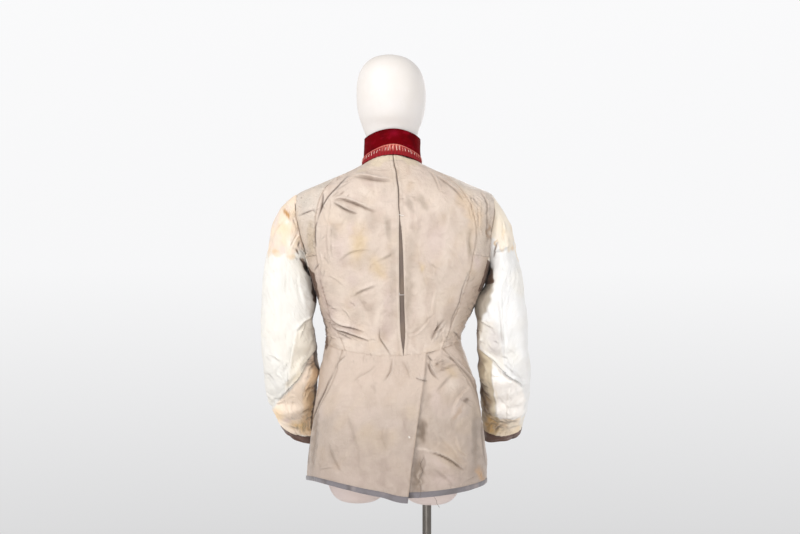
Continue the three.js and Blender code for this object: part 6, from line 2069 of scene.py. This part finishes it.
FLOOR = dict(radius=2400, z=-0.4, sides=128)
# place from SKY_FROM to straight up, shade
SKY = [(0.0, 0.60), (0.07, 0.72), (0.23, 0.93), (0.40, 0.955), (0.62, 0.62), (1.0, 0.5)]
SKY_FROM = -0.3
SKY_BLUE = 1.008
# name, place, what it is turned to, size in metres, power in watts
LAMPS = [
    ("left_light", (-1.9, -2.0, 2.9), (0, 0, 1.2), 0.9, 58),
    ("right_light", (2.3, -2.3, 2.2), (0, 0, 1.2), 1.2, 34),
    ("front_light", (0.9, 2.9, 1.7), (0, 0, 1.1), 1.8, 16),
    ("low_light", (-0.7, -2.8, 0.35), (0, 0, 0.95), 1.6, 19),
]


def make_stage():
    radius, z, sides = FLOOR["radius"], FLOOR["z"], FLOOR["sides"]
    points = [(0, 0, z)]
    for i in range(sides):
        t = 2 * math.pi * i / sides
        points.append((radius * math.cos(t), radius * math.sin(t), z))
    faces = [[0, 1 + i, 1 + (i + 1) % sides] for i in range(sides)]
    floor = make_mesh("floor", np.array(points), faces)
    floor.data.materials.append(plain_stage("floor_paint", "floor"))

    world = bpy.data.worlds.new("studio")
    bpy.context.scene.world = world
    world.use_nodes = True
    nodes, links = world.node_tree.nodes, world.node_tree.links
    way = nodes.new("ShaderNodeTexCoord").outputs["Generated"]
    height = nodes.new("ShaderNodeSeparateXYZ")
    links.new(way, height.inputs[0])
    ramp = nodes.new("ShaderNodeValToRGB")
    span = nodes.new("ShaderNodeMapRange")
    span.inputs["From Min"].default_value = SKY_FROM
    links.new(height.outputs["Z"], span.inputs["Value"])
    links.new(span.outputs["Result"], ramp.inputs["Fac"])
    for place, _ in SKY[1:-1]:
        ramp.color_ramp.elements.new(place)
    for element, (_, shade) in zip(ramp.color_ramp.elements, SKY):
        element.color = (shade, shade, shade * SKY_BLUE, 1)
    links.new(ramp.outputs["Color"], nodes["Background"].inputs["Color"])


def add_lamp(name, place, aim, size, power):
    lamp = bpy.data.lights.new(name, "AREA")
    lamp.shape = "DISK"
    lamp.size = size
    lamp.energy = power
    holder = bpy.data.objects.new(name, lamp)
    holder.location = place
    way = np.array(aim, float) - np.array(place, float)
    holder.rotation_euler = (math.atan2(math.hypot(way[0], way[1]), -way[2]), 0,
                             math.atan2(way[1], way[0]) - math.pi / 2)
    bpy.context.collection.objects.link(holder)


def add_camera():
    camera = bpy.data.cameras.new("camera")
    camera.lens = CAMERA["lens"]
    camera.sensor_width = CAMERA["sensor"]
    holder = bpy.data.objects.new("camera", camera)
    holder.location = (CAMERA["x"] * MM, CAMERA["y"] * MM, CAMERA["z"] * MM)
    holder.rotation_euler = (math.pi / 2, 0, 0)
    bpy.context.collection.objects.link(holder)
    bpy.context.scene.camera = holder


add_camera()
make_stage()
for lamp in LAMPS:
    add_lamp(*lamp)
bpy.context.scene.view_settings.view_transform = "Standard"

backs, skirts = [], []
for side, hand in ((-1, "left"), (1, "right")):
    backs.append(make_back(side, hand))
    make_shoulder(side, hand)
    make_patch(side, hand, make_side(side, hand))
    make_front(side, hand)
    skirts.append(make_skirt_back(side, hand))
    make_skirt_front(side, hand)
    make_sleeve(side, hand)
    make_cuff(side, hand)
make_threads(backs, skirts)
make_strip()
make_collar()
make_head()
make_torso()
make_stand()
